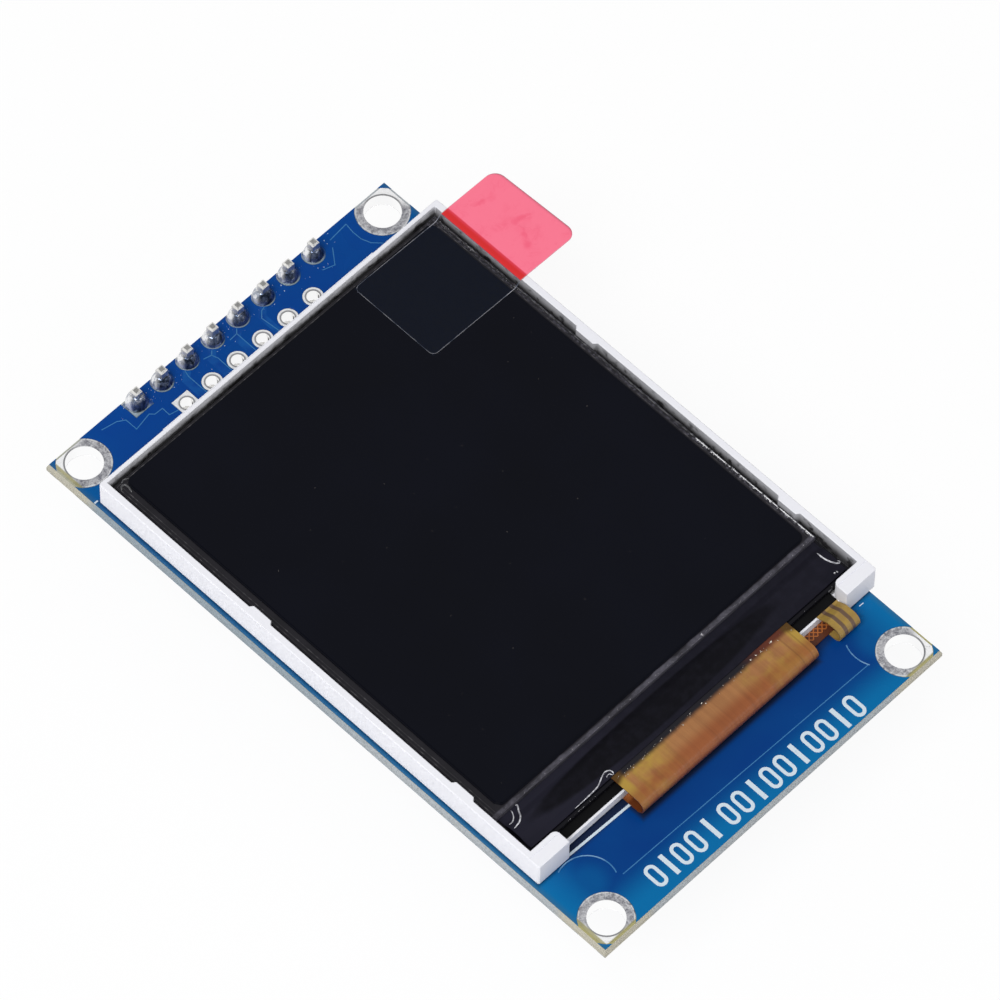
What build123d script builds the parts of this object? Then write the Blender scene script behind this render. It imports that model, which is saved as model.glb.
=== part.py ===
from build123d import *
from math import atan2, degrees
import os

# Colour display module on a blue carrier board. The origin is the centre of the four
# mounting holes on the back face of the bare board, +Z out of the display and +Y
# towards the header. All sizes are in millimetres.

# Carrier board
board_width = 34.0
board_length = 55.6
board_thickness = 1.15
score_depth = 0.38  # break-off score along every edge, on both faces
score_run = 0.15  # how far the score draws each face in from the edge
mask_thickness = 0.03
mask_gap = 0.04  # bare rim left round every pad
copper_pullback = 0.15  # copper stops this far inside the scored face
plating = 0.05
plating_fit = 0.01  # room round a barrel in its drilled hole

# Mounting holes
hole_side_edge = 2.0  # hole centre to the board's side
hole_end_edge = 1.85  # hole centre to the board's end
hole_diameter = 2.8
ring_diameter = 4.05

# Header and the row of spare holes beside it
pin_count = 8
spare_count = 6
pitch = 2.54
header_edge = 0.9  # header row to the board's end
row_spacing = 2.54
pin_hole = 1.0
header_pad = 1.7
spare_pad = 1.55
pin_size = 0.64
pin_chamfer = 0.14
pin_stub = 1.75  # pin end above the board on the display side
pin_reach = 6.1  # pin end below the plastic strip
strip_depth = 2.5
strip_height = 2.54
strip_notch = 0.9
cone_height = 1.0
blob_height = 1.35  # fuller joint on the first pin
cone_base = 0.78
cone_neck = 0.46
cone_swell = 0.1  # how far the flank of a joint swells outwards
cone_waist = 0.52  # height of the swell as a share of the joint

# Backlight frame
lcd_offset_x = 0.41
flex_margin = 6.91  # bare board at the flex end
header_margin = 4.99  # bare board at the header end
tape_thickness = 0.2  # mounting tape between board and frame
frame_width = 33.9
frame_height = 2.4
side_wall = 0.54
header_wall = 0.33
block_depth = 1.39  # corner blocks at the flex end
block_length = 3.0
block_fillet = 0.45
rail_setback = 0.68  # low end rail behind the front of the blocks
corner_chamfer = 0.1
rim_chamfer = 0.05
pad_width = 21.0  # proud length of the header wall
pad_proud = 0.1
pad_drop = 0.15  # proud length below the rim
nub_width = 2.15  # nubs that centre the glass in the frame
nub_reach = 0.27
nub_angle = 50.0
nub_position = 6.15  # first nub from the frame's centre, towards the header
nub_spacing = 20.0
groove_width = 0.08
groove_depth = 0.05
groove_position = 0.95  # groove on each block from the front
side_shelf = 1.25
header_shelf = 1.47

# Backlight stack
film_gap = 0.08
reflector_thickness = 0.08
guide_thickness = 0.5
diffuser_thickness = 0.06
prism_thickness = 0.065
rim_tape_thickness = 0.05
rim_tape_width = 2.1
rim_tape_lip = 0.18  # bare edge of the rail in front of the tape
lamp_strip_thickness = 0.1  # printed strip that carries the lamps
led_count = 2
led_width = 2.8
led_depth = 1.2
led_spacing = 13.0
led_gap = 0.05
led_corner = 0.15

# Display cell
glass_side_gap = 0.32
glass_end_gap = 0.15
glass_back_gap = 0.32
glass_thickness = 0.4
polariser_thickness = 0.11
polariser_side_inset = 0.7
polariser_end_inset = 0.25
polariser_front_inset = 0.42
polariser_shift = 0.12  # polarisers sit off the middle of the glass
polariser_corner = 0.6
ledge_depth = 3.55
film_thickness = 0.05
film_inset = 0.12

# Driver chip and its cover on the glass ledge
chip_length = 13.0
chip_width = 0.9
chip_height = 0.28
chip_setback = 1.2  # chip from the front edge of the colour filter glass
chip_edge = 0.05
cover_thickness = 0.08
cover_side_inset = 0.25
cover_back_gap = 0.05
cover_front = 0.3  # bare glass in front of the cover
cover_ramp = 0.55
cover_radius = 0.2

# Display flex
flex_thickness = 0.1
flex_width = 17.66
flex_offset = 0.91  # flex centre from the frame's centre line
flex_bond = 0.75
flex_run = 1.27  # from the rail to where the flex turns down
flex_tail = 9.47  # length turned back under the frame
wing_width = 4.4
wing_front = 0.2
wing_length = 6.5
flex_pad_count = 14
flex_pad_pitch = 0.8
flex_pad_width = 0.5
flex_pad_length = 1.8

# Backlight flex tail
lamp_strip_depth = 1.5
lamp_strip_reach = 10.5  # strip end from the frame's centre, away from its tail
tail_width = 2.0
tail_gap = 0.1  # tail from the corner block
tail_run = 1.46
tail_lift = 0.43  # how far the tail arches above the rail
tail_rise = 0.75  # run of its slope up to the arch
tail_soft = 0.3
tail_return = 4.0

# Mounting tape strips
tape_width = 2.6
tape_inset = 1.2
tape_header_inset = 2.65
tape_flex_inset = 9.05

# Pull tab on the protective film
tab_film = 0.06
tab_strip_width = 8.04
tab_setback = 0.88  # tab from the header wall
tab_on_film = 8.35
tab_ramp = 0.75
tab_overhang = 5.27
tab_corner = 0.9
tab_film_corner = 0.55
tab_bend = 0.25

# Small parts on the back of the board
sot_length = 2.9
sot_width = 1.3
sot_height = 1.0
sot_standoff = 0.08
sot_span = 2.4
sot_lead_pitch = 1.9
sot_lead_width = 0.4
sot_lead_thickness = 0.13
sot_knee = 0.08  # lead runs out this far before it turns to the board
sot_draft = 6.0
regulator_x = -8.6
regulator_drop = 4.96  # parts on the back, from the row of spare holes
transistor_x = 9.5
transistor_drop = 7.16
capacitor_count = 2
resistor_count = 4
chip_part_length = 1.6
chip_part_width = 0.8
capacitor_height = 0.8
resistor_height = 0.45
chip_end = 0.3
chip_end_rise = 0.02
capacitor_spacing = 1.9
resistor_spacing = 2.2
capacitor_x = -12.6
capacitor_drop = 6.16
resistor_x = 5.2
resistor_drop = 7.16
fillet_run = 0.28
fillet_rise = 0.3

# Heights that follow
score_angle = degrees(atan2(score_run, score_depth))
board_face = board_thickness + mask_thickness
frame_bottom = board_face + tape_thickness
frame_top = frame_bottom + frame_height
reflector_top = frame_bottom + reflector_thickness
guide_top = reflector_top + guide_thickness
diffuser_top = guide_top + diffuser_thickness
lower_prism_top = diffuser_top + prism_thickness
shelf = lower_prism_top + prism_thickness
rail_top = shelf - lamp_strip_thickness
rim_tape_top = shelf + rim_tape_thickness
array_bottom = rim_tape_top + polariser_thickness
array_top = array_bottom + glass_thickness
filter_top = array_top + glass_thickness
polariser_top = filter_top + polariser_thickness
film_top = polariser_top + film_thickness
chip_top = array_top + chip_height
flex_top = array_top + flex_thickness
tail_bottom = frame_bottom - flex_thickness

# Board outlines and hole centres that follow
face_width = board_width - 2 * score_run
face_length = board_length - 2 * score_run
copper_width = face_width - 2 * copper_pullback
copper_length = face_length - 2 * copper_pullback
header_y = board_length / 2 - header_edge
spare_y = header_y - row_spacing
mount_x = board_width / 2 - hole_side_edge
mount_y = board_length / 2 - hole_end_edge
mount_points = [(-mount_x, -mount_y), (mount_x, -mount_y), (-mount_x, mount_y), (mount_x, mount_y)]
header_points = [((i - (pin_count - 1) / 2) * pitch, header_y) for i in range(pin_count)]
spare_points = [((i - (spare_count - 1) / 2) * pitch, spare_y) for i in range(spare_count)]
strip_top = -plating

# Outlines inside the frame, measured from its centre
frame_length = board_length - flex_margin - header_margin
lcd_offset_y = (flex_margin - header_margin) / 2
frame_front = -frame_length / 2
pocket_front = frame_front + block_depth
pocket_back = frame_length / 2 - header_wall
pocket_width = frame_width - 2 * side_wall
well_back = pocket_back - header_shelf
well_width = pocket_width - 2 * side_shelf
gap_width = frame_width - 2 * block_length
rail_front = frame_front + rail_setback
glass_width = pocket_width - 2 * glass_side_gap
array_front = pocket_front + glass_end_gap
glass_back = pocket_back - glass_back_gap
filter_front = array_front + ledge_depth
polariser_width = glass_width - 2 * polariser_side_inset
polariser_front = filter_front + polariser_front_inset
polariser_back = glass_back - polariser_end_inset
lamp_strip_front = pocket_front + film_gap
lamp_strip_back = lamp_strip_front + lamp_strip_depth
guide_front = lamp_strip_back + film_gap
led_back = guide_front - led_gap
chip_back = filter_front - chip_setback
chip_front = chip_back - chip_width
cover_end = array_front + cover_front
flex_left = flex_offset - flex_width / 2
flex_right = flex_offset + flex_width / 2
flex_bend = rail_front - flex_run
flex_back = array_front + flex_bond
flex_radius = (flex_top - tail_bottom) / 2
flex_centre = (flex_top + tail_bottom) / 2
flex_end = flex_bend + flex_tail
tail_right = gap_width / 2 - tail_gap
notch_left = tail_right - tail_width - tail_gap
tail_bend = rail_front - tail_run
tail_rise_end = rail_front - tail_rise
tail_top = shelf + tail_lift
tail_radius = (tail_top - board_face) / 2
tail_centre = (tail_top + board_face) / 2
tail_end = tail_bend + tail_return
tail_face = board_face + lamp_strip_thickness
flex_pads_x = [flex_offset + (i - (flex_pad_count - 1) / 2) * flex_pad_pitch for i in range(flex_pad_count)]
flex_pads_y = flex_end - flex_pad_length / 2
flex_pad_points = [(lcd_offset_x + x, lcd_offset_y + flex_pads_y) for x in flex_pads_x]

edge_reach = 0.01  # how near an edge lies to the place it is looked for

os.makedirs("parts", exist_ok=True)


def finish(piece, node):
    """Names a finished piece and writes its file."""
    piece.part.label = node
    export_step(piece.part, f"parts/{node}.step")


def lcd_plane(height):
    """Level plane at the centre of the frame."""
    return Plane((lcd_offset_x, lcd_offset_y, height))


def lcd_section(x):
    """Upright plane across the frame at x, drawn in Y and Z."""
    return Plane((lcd_offset_x + x, lcd_offset_y, 0), x_dir=(0, 1, 0), z_dir=(1, 0, 0))


def pad_row(points, size, mode=Mode.ADD):
    """Round pads with a square one at the first hole."""
    with Locations(points[0]):
        Rectangle(size, size, mode=mode)
    with Locations(points[1:]):
        Circle(size / 2, mode=mode)


def span(front, back, width):
    """Rectangle between two distances along Y."""
    with Locations((0, (front + back) / 2)):
        Rectangle(width, back - front)


def mask_openings():
    """Openings in the mask for every plated hole."""
    with Locations(mount_points):
        Circle(ring_diameter / 2 + mask_gap, mode=Mode.SUBTRACT)
    pad_row(header_points, header_pad + 2 * mask_gap, Mode.SUBTRACT)
    pad_row(spare_points, spare_pad + 2 * mask_gap, Mode.SUBTRACT)


def plated_holes(points, pad, hole, square_first):
    """Plated barrels with a land on both faces of the board."""
    with BuildPart() as barrels:
        for level in (board_thickness, -plating):
            with BuildSketch(Plane.XY.offset(level)):
                if square_first:
                    pad_row(points, pad)
                else:
                    with Locations(points):
                        Circle(pad / 2)
                Rectangle(copper_width, copper_length, mode=Mode.INTERSECT)
            extrude(amount=plating)
        with BuildSketch():
            with Locations(points):
                Circle(hole / 2 + plating)
        extrude(amount=board_thickness)
        with BuildSketch(Plane.XY.offset(-plating)):
            with Locations(points):
                Circle(hole / 2)
        extrude(amount=board_thickness + 2 * plating, mode=Mode.SUBTRACT)
    return barrels


def sheet(bottom, thickness, front, back, width, corner=0.0, shift=0.0):
    """Flat sheet of the display stack."""
    with BuildPart() as layer:
        with BuildSketch(lcd_plane(bottom)):
            with Locations((shift, (front + back) / 2)):
                if corner:
                    RectangleRounded(width, back - front, corner)
                else:
                    Rectangle(width, back - front)
        extrude(amount=thickness)
    return layer


# Carrier board: scored all round and drilled
with BuildPart() as circuit_board:
    with BuildSketch(Plane.XY.offset(score_depth)):
        Rectangle(board_width, board_length)
    extrude(amount=board_thickness - 2 * score_depth)
    upper_score = Plane.XY.offset(board_thickness - score_depth)
    lower_score = Plane((0, 0, score_depth), z_dir=(0, 0, -1))
    for scored in (upper_score, lower_score):
        with BuildSketch(scored):
            Rectangle(board_width, board_length)
        extrude(amount=score_depth, taper=score_angle)
    with BuildSketch():
        with Locations(mount_points):
            Circle(hole_diameter / 2 + plating + plating_fit)
        with Locations(header_points + spare_points):
            Circle(pin_hole / 2 + plating + plating_fit)
    extrude(amount=board_thickness, mode=Mode.SUBTRACT)
finish(circuit_board, "circuit_board")

with BuildPart() as front_solder_mask:
    with BuildSketch(Plane.XY.offset(board_thickness)):
        Rectangle(face_width, face_length)
        mask_openings()
        with Locations(flex_pad_points):
            Rectangle(flex_pad_width, flex_pad_length, mode=Mode.SUBTRACT)
    extrude(amount=mask_thickness)
finish(front_solder_mask, "front_solder_mask")

with BuildPart() as rear_solder_mask:
    with BuildSketch(Plane.XY.offset(-mask_thickness)):
        Rectangle(face_width, face_length)
        mask_openings()
    extrude(amount=mask_thickness)
finish(rear_solder_mask, "rear_solder_mask")

# Plated holes
mounting_rings = plated_holes(mount_points, ring_diameter, hole_diameter, False)
finish(mounting_rings, "mounting_rings")
header_barrels = plated_holes(header_points, header_pad, pin_hole, True)
finish(header_barrels, "header_barrels")
spare_barrels = plated_holes(spare_points, spare_pad, pin_hole, True)
finish(spare_barrels, "spare_barrels")

# Pin header: plastic strip on the back, pins through the board, solder on the display side
with BuildPart() as header_strip:
    with BuildSketch(Plane.XY.offset(strip_top - strip_height)):
        with Locations((0, header_y)):
            Rectangle(pin_count * pitch, strip_depth)
        notch_x = [(i - pin_count / 2) * pitch for i in range(pin_count + 1)]
        for side in (-strip_depth / 2, strip_depth / 2):
            with Locations([(x, header_y + side) for x in notch_x]):
                Rectangle(strip_notch, strip_notch, rotation=45, mode=Mode.SUBTRACT)
        with Locations(header_points):
            Rectangle(pin_size, pin_size, mode=Mode.SUBTRACT)
    extrude(amount=strip_height)
finish(header_strip, "header_strip")

pin_bottom = strip_top - strip_height - pin_reach
pin_top = board_face + pin_stub
with BuildPart() as header_pins:
    with BuildSketch(Plane.XY.offset(pin_bottom)):
        with Locations(header_points):
            Rectangle(pin_size, pin_size)
    extrude(amount=pin_top - pin_bottom)
    chamfer(header_pins.faces().filter_by(Axis.Z).edges(), length=pin_chamfer)
finish(header_pins, "header_pins")

land_top = board_thickness + plating
with BuildPart() as header_solder:
    for i, (x, y) in enumerate(header_points):
        height = blob_height if i == 0 else cone_height
        with BuildSketch(Plane((x, y, land_top), x_dir=(1, 0, 0), z_dir=(0, -1, 0))):
            with BuildLine():
                foot = Line((0, 0), (cone_base, 0))
                waist = ((cone_base + cone_neck) / 2 + cone_swell, height * cone_waist)
                flank = ThreePointArc(foot @ 1, waist, (cone_neck, height))
                Polyline(flank @ 1, (0, height), (0, 0))
            make_face()
        revolve(axis=Axis((x, y, 0), (0, 0, 1)))
    with BuildSketch(Plane.XY.offset(land_top)):
        with Locations(header_points):
            Rectangle(pin_size, pin_size)
    extrude(amount=pin_stub, mode=Mode.SUBTRACT)
finish(header_solder, "header_solder")

# Backlight frame: one white moulding, open at the flex end above a low rail
nub_x = pocket_width / 2 - nub_reach / 2
with BuildPart() as backlight_frame:
    with BuildSketch(lcd_plane(frame_bottom)):
        Rectangle(frame_width, frame_length)
    extrude(amount=frame_height)
    chamfer(backlight_frame.edges().filter_by(Axis.Z), length=corner_chamfer)
    with BuildSketch(lcd_plane(shelf)):
        span(pocket_front, pocket_back, pocket_width)
        for along in (nub_position, nub_position - nub_spacing):
            for side in (-1, 1):
                with Locations((side * nub_x, along)):
                    Trapezoid(nub_width, nub_reach, nub_angle, rotation=side * 90, mode=Mode.SUBTRACT)
    extrude(amount=frame_top - shelf, mode=Mode.SUBTRACT)
    with BuildSketch(lcd_plane(frame_bottom)):
        span(pocket_front, well_back, well_width)
    extrude(amount=shelf - frame_bottom, mode=Mode.SUBTRACT)
    with BuildSketch(lcd_plane(shelf)):
        span(frame_front, pocket_front, gap_width)
    extrude(amount=frame_top - shelf, mode=Mode.SUBTRACT)
    with BuildSketch(lcd_plane(rail_top)):
        with Locations(((notch_left + gap_width / 2) / 2, (frame_front + pocket_front) / 2)):
            Rectangle(gap_width / 2 - notch_left, block_depth)
    extrude(amount=lamp_strip_thickness, mode=Mode.SUBTRACT)
    with BuildSketch(lcd_plane(frame_bottom)):
        span(frame_front, rail_front, gap_width)
    extrude(amount=frame_height, mode=Mode.SUBTRACT)
    uprights = backlight_frame.edges().filter_by(Axis.Z)
    block_tips = uprights.filter_by(
        lambda edge: abs(abs(edge.center().X - lcd_offset_x) - gap_width / 2) < edge_reach
        and abs(edge.center().Y - lcd_offset_y - pocket_front) < edge_reach
    )
    fillet(block_tips, radius=block_fillet)
    rim = backlight_frame.faces().filter_by(Axis.Z).sort_by(Axis.Z)[-1]
    chamfer(rim.edges(), length=rim_chamfer)
    with BuildSketch(lcd_plane(frame_bottom)):
        with Locations((0, frame_length / 2 + pad_proud / 2)):
            Rectangle(pad_width, pad_proud)
    extrude(amount=frame_height - pad_drop)
    with BuildSketch(lcd_plane(frame_top - groove_depth)):
        with Locations((0, frame_front + groove_position)):
            Rectangle(frame_width, groove_width)
    extrude(amount=groove_depth, mode=Mode.SUBTRACT)
finish(backlight_frame, "backlight_frame")

# Backlight: reflector, light guide and films in the well of the frame
well_fit = well_width - 2 * film_gap
films_back = well_back - film_gap
reflector_film = sheet(frame_bottom, reflector_thickness, pocket_front + film_gap, films_back, well_fit)
finish(reflector_film, "reflector_film")
light_guide = sheet(reflector_top, guide_thickness, guide_front, films_back, well_fit)
finish(light_guide, "light_guide")
diffuser_film = sheet(guide_top, diffuser_thickness, guide_front, films_back, well_fit)
finish(diffuser_film, "diffuser_film")
lower_prism_film = sheet(diffuser_top, prism_thickness, guide_front, films_back, well_fit)
finish(lower_prism_film, "lower_prism_film")
upper_prism_film = sheet(lower_prism_top, prism_thickness, guide_front, films_back, well_fit)
finish(upper_prism_film, "upper_prism_film")

with BuildPart() as backlight_leds:
    with BuildSketch(lcd_plane(reflector_top)):
        with Locations((0, led_back - led_depth / 2)):
            with GridLocations(led_spacing, led_spacing, led_count, 1):
                Rectangle(led_width, led_depth)
    extrude(amount=rail_top - reflector_top)
    rear_corners = backlight_leds.edges().filter_by(Axis.Z).group_by(Axis.Y)[0]
    chamfer(rear_corners, length=led_corner)
finish(backlight_leds, "backlight_leds")

# Black tape ring that holds the display on the shelf and covers the rail
ring_width = glass_width - 2 * film_gap
with BuildPart() as rim_tape:
    with BuildSketch(lcd_plane(shelf)):
        span(array_front, glass_back - film_gap, ring_width)
        span(rail_front + rim_tape_lip, array_front, gap_width - 2 * film_gap)
        with Locations((0, (polariser_front + glass_back - film_gap - rim_tape_width) / 2)):
            window_length = glass_back - film_gap - rim_tape_width - polariser_front
            Rectangle(ring_width - 2 * rim_tape_width, window_length, mode=Mode.SUBTRACT)
    extrude(amount=rim_tape_thickness)
finish(rim_tape, "rim_tape")

# Display cell: two glasses between two polarisers, under a protective film
rear_polariser = sheet(
    rim_tape_top,
    polariser_thickness,
    polariser_front,
    polariser_back,
    polariser_width,
    polariser_corner,
    polariser_shift,
)
finish(rear_polariser, "rear_polariser")
array_glass = sheet(array_bottom, glass_thickness, array_front, glass_back, glass_width)
finish(array_glass, "array_glass")
colour_filter_glass = sheet(array_top, glass_thickness, filter_front, glass_back, glass_width)
finish(colour_filter_glass, "colour_filter_glass")
front_polariser = sheet(
    filter_top,
    polariser_thickness,
    polariser_front,
    polariser_back,
    polariser_width,
    polariser_corner,
    polariser_shift,
)
finish(front_polariser, "front_polariser")
protective_film = sheet(
    polariser_top,
    film_thickness,
    polariser_front + film_inset,
    polariser_back - film_inset,
    polariser_width - 2 * film_inset,
    polariser_corner - film_inset,
    polariser_shift,
)
finish(protective_film, "protective_film")

with BuildPart() as driver_chip:
    with BuildSketch(lcd_plane(array_top)):
        with Locations((flex_offset, (chip_front + chip_back) / 2)):
            Rectangle(chip_length, chip_width)
    extrude(amount=chip_height)
    chamfer(driver_chip.faces().sort_by(Axis.Z)[-1].edges(), length=chip_edge)
finish(driver_chip, "driver_chip")

# Black cover tape: over the chip and down onto the flex bond
cover_width = glass_width - 2 * cover_side_inset
cover_line = [
    (filter_front - cover_back_gap, array_top),
    (chip_back + cover_ramp, array_top),
    (chip_back, chip_top),
    (chip_front, chip_top),
    (chip_front - cover_ramp, flex_top),
    (cover_end, flex_top),
]
with BuildPart() as ledge_cover:
    with BuildSketch(lcd_section(-cover_width / 2)):
        with BuildLine():
            under = FilletPolyline(*cover_line, radius=cover_radius)
            over = FilletPolyline(*[(y, z + cover_thickness) for y, z in cover_line], radius=cover_radius)
            Line(under @ 0, over @ 0)
            Line(under @ 1, over @ 1)
        make_face()
    extrude(amount=cover_width)
finish(ledge_cover, "ledge_cover")

# Display flex: bonded to the ledge, rolled over the end and turned back under the frame
with BuildPart() as display_flex:
    with BuildSketch(lcd_section(flex_left)):
        with BuildLine():
            top = Line((flex_back, flex_top), (flex_bend, flex_top))
            CenterArc((flex_bend, flex_centre), flex_radius, 90, 180)
            Line((flex_bend, tail_bottom), (flex_end, tail_bottom))
            Line((flex_end, tail_bottom), (flex_end, tail_bottom + flex_thickness))
            Line((flex_end, tail_bottom + flex_thickness), (flex_bend, tail_bottom + flex_thickness))
            CenterArc((flex_bend, flex_centre), flex_radius - flex_thickness, 90, 180)
            Line((flex_bend, array_top), (flex_back, array_top))
            Line((flex_back, array_top), top @ 0)
        make_face()
    extrude(amount=flex_width)
    with BuildSketch(lcd_plane(tail_bottom)):
        with Locations((flex_right + wing_width / 2, flex_bend + wing_front + wing_length / 2)):
            Rectangle(wing_width, wing_length)
    extrude(amount=flex_thickness)
finish(display_flex, "display_flex")

with BuildPart() as flex_pads:
    with BuildSketch(Plane.XY.offset(board_thickness)):
        with Locations(flex_pad_points):
            Rectangle(flex_pad_width, flex_pad_length)
    extrude(amount=mask_thickness)
finish(flex_pads, "flex_pads")

with BuildPart() as flex_solder:
    with BuildSketch(Plane.XY.offset(board_face)):
        with Locations(flex_pad_points):
            Rectangle(flex_pad_width, flex_pad_length)
    extrude(amount=tail_bottom - board_face)
finish(flex_solder, "flex_solder")

# Backlight flex: lamp strip behind the rail with a tail that arches over it and rolls under to the board
tail_line = [
    (lamp_strip_front, shelf),
    (rail_front, shelf),
    (tail_rise_end, tail_top),
    (tail_bend, tail_top),
]
with BuildPart() as backlight_flex:
    with BuildSketch(lcd_plane(rail_top)):
        with Locations(((tail_right - lamp_strip_reach) / 2, (lamp_strip_front + lamp_strip_back) / 2)):
            Rectangle(tail_right + lamp_strip_reach, lamp_strip_depth)
    extrude(amount=lamp_strip_thickness)
    with BuildSketch(lcd_section(tail_right - tail_width)):
        with BuildLine():
            over = FilletPolyline(*tail_line, radius=tail_soft)
            CenterArc((tail_bend, tail_centre), tail_radius, 90, 180)
            Line((tail_bend, board_face), (tail_end, board_face))
            Line((tail_end, board_face), (tail_end, tail_face))
            Line((tail_end, tail_face), (tail_bend, tail_face))
            CenterArc((tail_bend, tail_centre), tail_radius - lamp_strip_thickness, 90, 180)
            under = FilletPolyline(*[(y, z - lamp_strip_thickness) for y, z in tail_line], radius=tail_soft)
            Line(under @ 0, over @ 0)
        make_face()
    extrude(amount=tail_width)
finish(backlight_flex, "backlight_flex")

# Mounting tape that holds the frame on the board
with BuildPart() as mounting_tape:
    tape_front = frame_front + tape_flex_inset
    tape_back = frame_length / 2 - tape_header_inset
    with BuildSketch(lcd_plane(board_face)):
        with Locations((0, (tape_front + tape_back) / 2)):
            with GridLocations(frame_width - 2 * tape_inset - tape_width, 1, 2, 1):
                Rectangle(tape_width, tape_back - tape_front)
    extrude(amount=tape_thickness)
finish(mounting_tape, "mounting_tape")

# Pull tab: stuck to the film, up over the rim and out past the frame
tab_y = pocket_back - tab_setback - tab_strip_width / 2
tab_start = pocket_width / 2 - tab_ramp - tab_on_film
tab_foot = pocket_width / 2 - tab_ramp
tab_head = pocket_width / 2 - film_gap
tab_end = frame_width / 2 + tab_overhang
tab_line = [(tab_start, film_top), (tab_foot, film_top), (tab_head, frame_top), (tab_end, frame_top)]
with BuildPart() as pull_tab:
    side_plane = Plane((lcd_offset_x, lcd_offset_y + tab_y, 0), x_dir=(1, 0, 0), z_dir=(0, -1, 0))
    with BuildSketch(side_plane):
        with BuildLine():
            below = FilletPolyline(*tab_line, radius=tab_bend)
            above = FilletPolyline(*[(x, z + tab_film) for x, z in tab_line], radius=tab_bend)
            Line(below @ 0, above @ 0)
            Line(below @ 1, above @ 1)
        make_face()
    extrude(amount=tab_strip_width / 2, both=True)
    with BuildSketch(lcd_plane(film_top)) as outline:
        with Locations(((tab_start + tab_end) / 2, tab_y)):
            Rectangle(tab_end - tab_start, tab_strip_width)
        fillet(outline.vertices().group_by(Axis.X)[0], radius=tab_film_corner)
        fillet(outline.vertices().group_by(Axis.X)[-1], radius=tab_corner)
    extrude(amount=frame_top + tab_film - film_top, mode=Mode.INTERSECT)
finish(pull_tab, "pull_tab")


def sot_body(x, y):
    """Moulded three-lead package hanging from the back of the board."""
    middle = -mask_thickness - sot_standoff - sot_height / 2
    with BuildPart() as body:
        for direction in (1, -1):
            with BuildSketch(Plane((x, y, middle), x_dir=(1, 0, 0), z_dir=(0, 0, direction))):
                Rectangle(sot_length, sot_width)
            extrude(amount=sot_height / 2, taper=sot_draft)
    return body


def sot_leads(x, y):
    """Two bent leads on one side of a package and one on the other."""
    middle = -mask_thickness - sot_standoff - sot_height / 2
    seat = -mask_thickness
    half = sot_lead_thickness / 2
    knee = sot_width / 2 + sot_knee
    ankle = knee + sot_lead_thickness
    with BuildPart() as leads:
        for along, side in ((-sot_lead_pitch / 2, 1), (sot_lead_pitch / 2, 1), (0, -1)):
            plane = Plane(
                (x + along - side * sot_lead_width / 2, y, 0), x_dir=(0, side, 0), z_dir=(side, 0, 0)
            )
            with BuildSketch(plane):
                with BuildLine():
                    Polyline(
                        (sot_width / 2, middle + half),
                        (knee, middle + half),
                        (knee, seat),
                        (sot_span / 2, seat),
                        (sot_span / 2, seat - sot_lead_thickness),
                        (ankle, seat - sot_lead_thickness),
                        (ankle, middle - half),
                        (sot_width / 2, middle - half),
                        close=True,
                    )
                make_face()
            extrude(amount=sot_lead_width)
    return leads


def chip_bodies(points, height):
    """Middle part of each two-ended chip."""
    with BuildPart() as bodies:
        with BuildSketch(Plane.XY.offset(-mask_thickness - height)):
            with Locations(points):
                Rectangle(chip_part_width, chip_part_length - 2 * chip_end)
        extrude(amount=height - chip_end_rise)
    return bodies


def chip_ends(points, height):
    """Tinned ends of each two-ended chip, a little fuller than its body."""
    offset = (chip_part_length - chip_end) / 2
    with BuildPart() as ends:
        with BuildSketch(Plane.XY.offset(-mask_thickness - height - chip_end_rise)):
            with Locations([(x, y + side * offset) for x, y in points for side in (-1, 1)]):
                Rectangle(chip_part_width + 2 * chip_end_rise, chip_end)
        extrude(amount=height + chip_end_rise)
        tips = ends.faces().filter_by(Axis.Z).group_by(Axis.Z)[0]
        chamfer(tips.edges(), length=chip_end_rise)
    return ends


# Parts on the back of the board
regulator_body = sot_body(regulator_x, spare_y - regulator_drop)
finish(regulator_body, "regulator_body")
regulator_leads = sot_leads(regulator_x, spare_y - regulator_drop)
finish(regulator_leads, "regulator_leads")
transistor_body = sot_body(transistor_x, spare_y - transistor_drop)
finish(transistor_body, "transistor_body")
transistor_leads = sot_leads(transistor_x, spare_y - transistor_drop)
finish(transistor_leads, "transistor_leads")
capacitor_y = spare_y - capacitor_drop
resistor_y = spare_y - resistor_drop
capacitor_points = [(capacitor_x + i * capacitor_spacing, capacitor_y) for i in range(capacitor_count)]
resistor_points = [(resistor_x - i * resistor_spacing, resistor_y) for i in range(resistor_count)]
capacitor_bodies = chip_bodies(capacitor_points, capacitor_height)
finish(capacitor_bodies, "capacitor_bodies")
capacitor_ends = chip_ends(capacitor_points, capacitor_height)
finish(capacitor_ends, "capacitor_ends")
resistor_bodies = chip_bodies(resistor_points, resistor_height)
finish(resistor_bodies, "resistor_bodies")
resistor_ends = chip_ends(resistor_points, resistor_height)
finish(resistor_ends, "resistor_ends")

# Solder fillets at both ends of every chip
chip_half = chip_part_length / 2
with BuildPart() as rear_solder:
    for x, y in capacitor_points + resistor_points:
        for side in (-1, 1):
            plane = Plane(
                (x - side * chip_part_width / 2, y + side * chip_half, -mask_thickness),
                x_dir=(0, side, 0),
                z_dir=(side, 0, 0),
            )
            with BuildSketch(plane):
                with BuildLine():
                    Polyline((0, 0), (fillet_run, 0), (0, -fillet_rise), close=True)
                make_face()
            extrude(amount=chip_part_width)
finish(rear_solder, "rear_solder")
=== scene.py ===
"""Looks of a small colour display module: finishes, print, sealant, solder and a plain stage."""

import math
import random

import bpy
from bpy.props import FloatProperty, FloatVectorProperty, IntProperty, PointerProperty
from mathutils import Matrix, Vector
from mathutils.bvhtree import BVHTree


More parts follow.
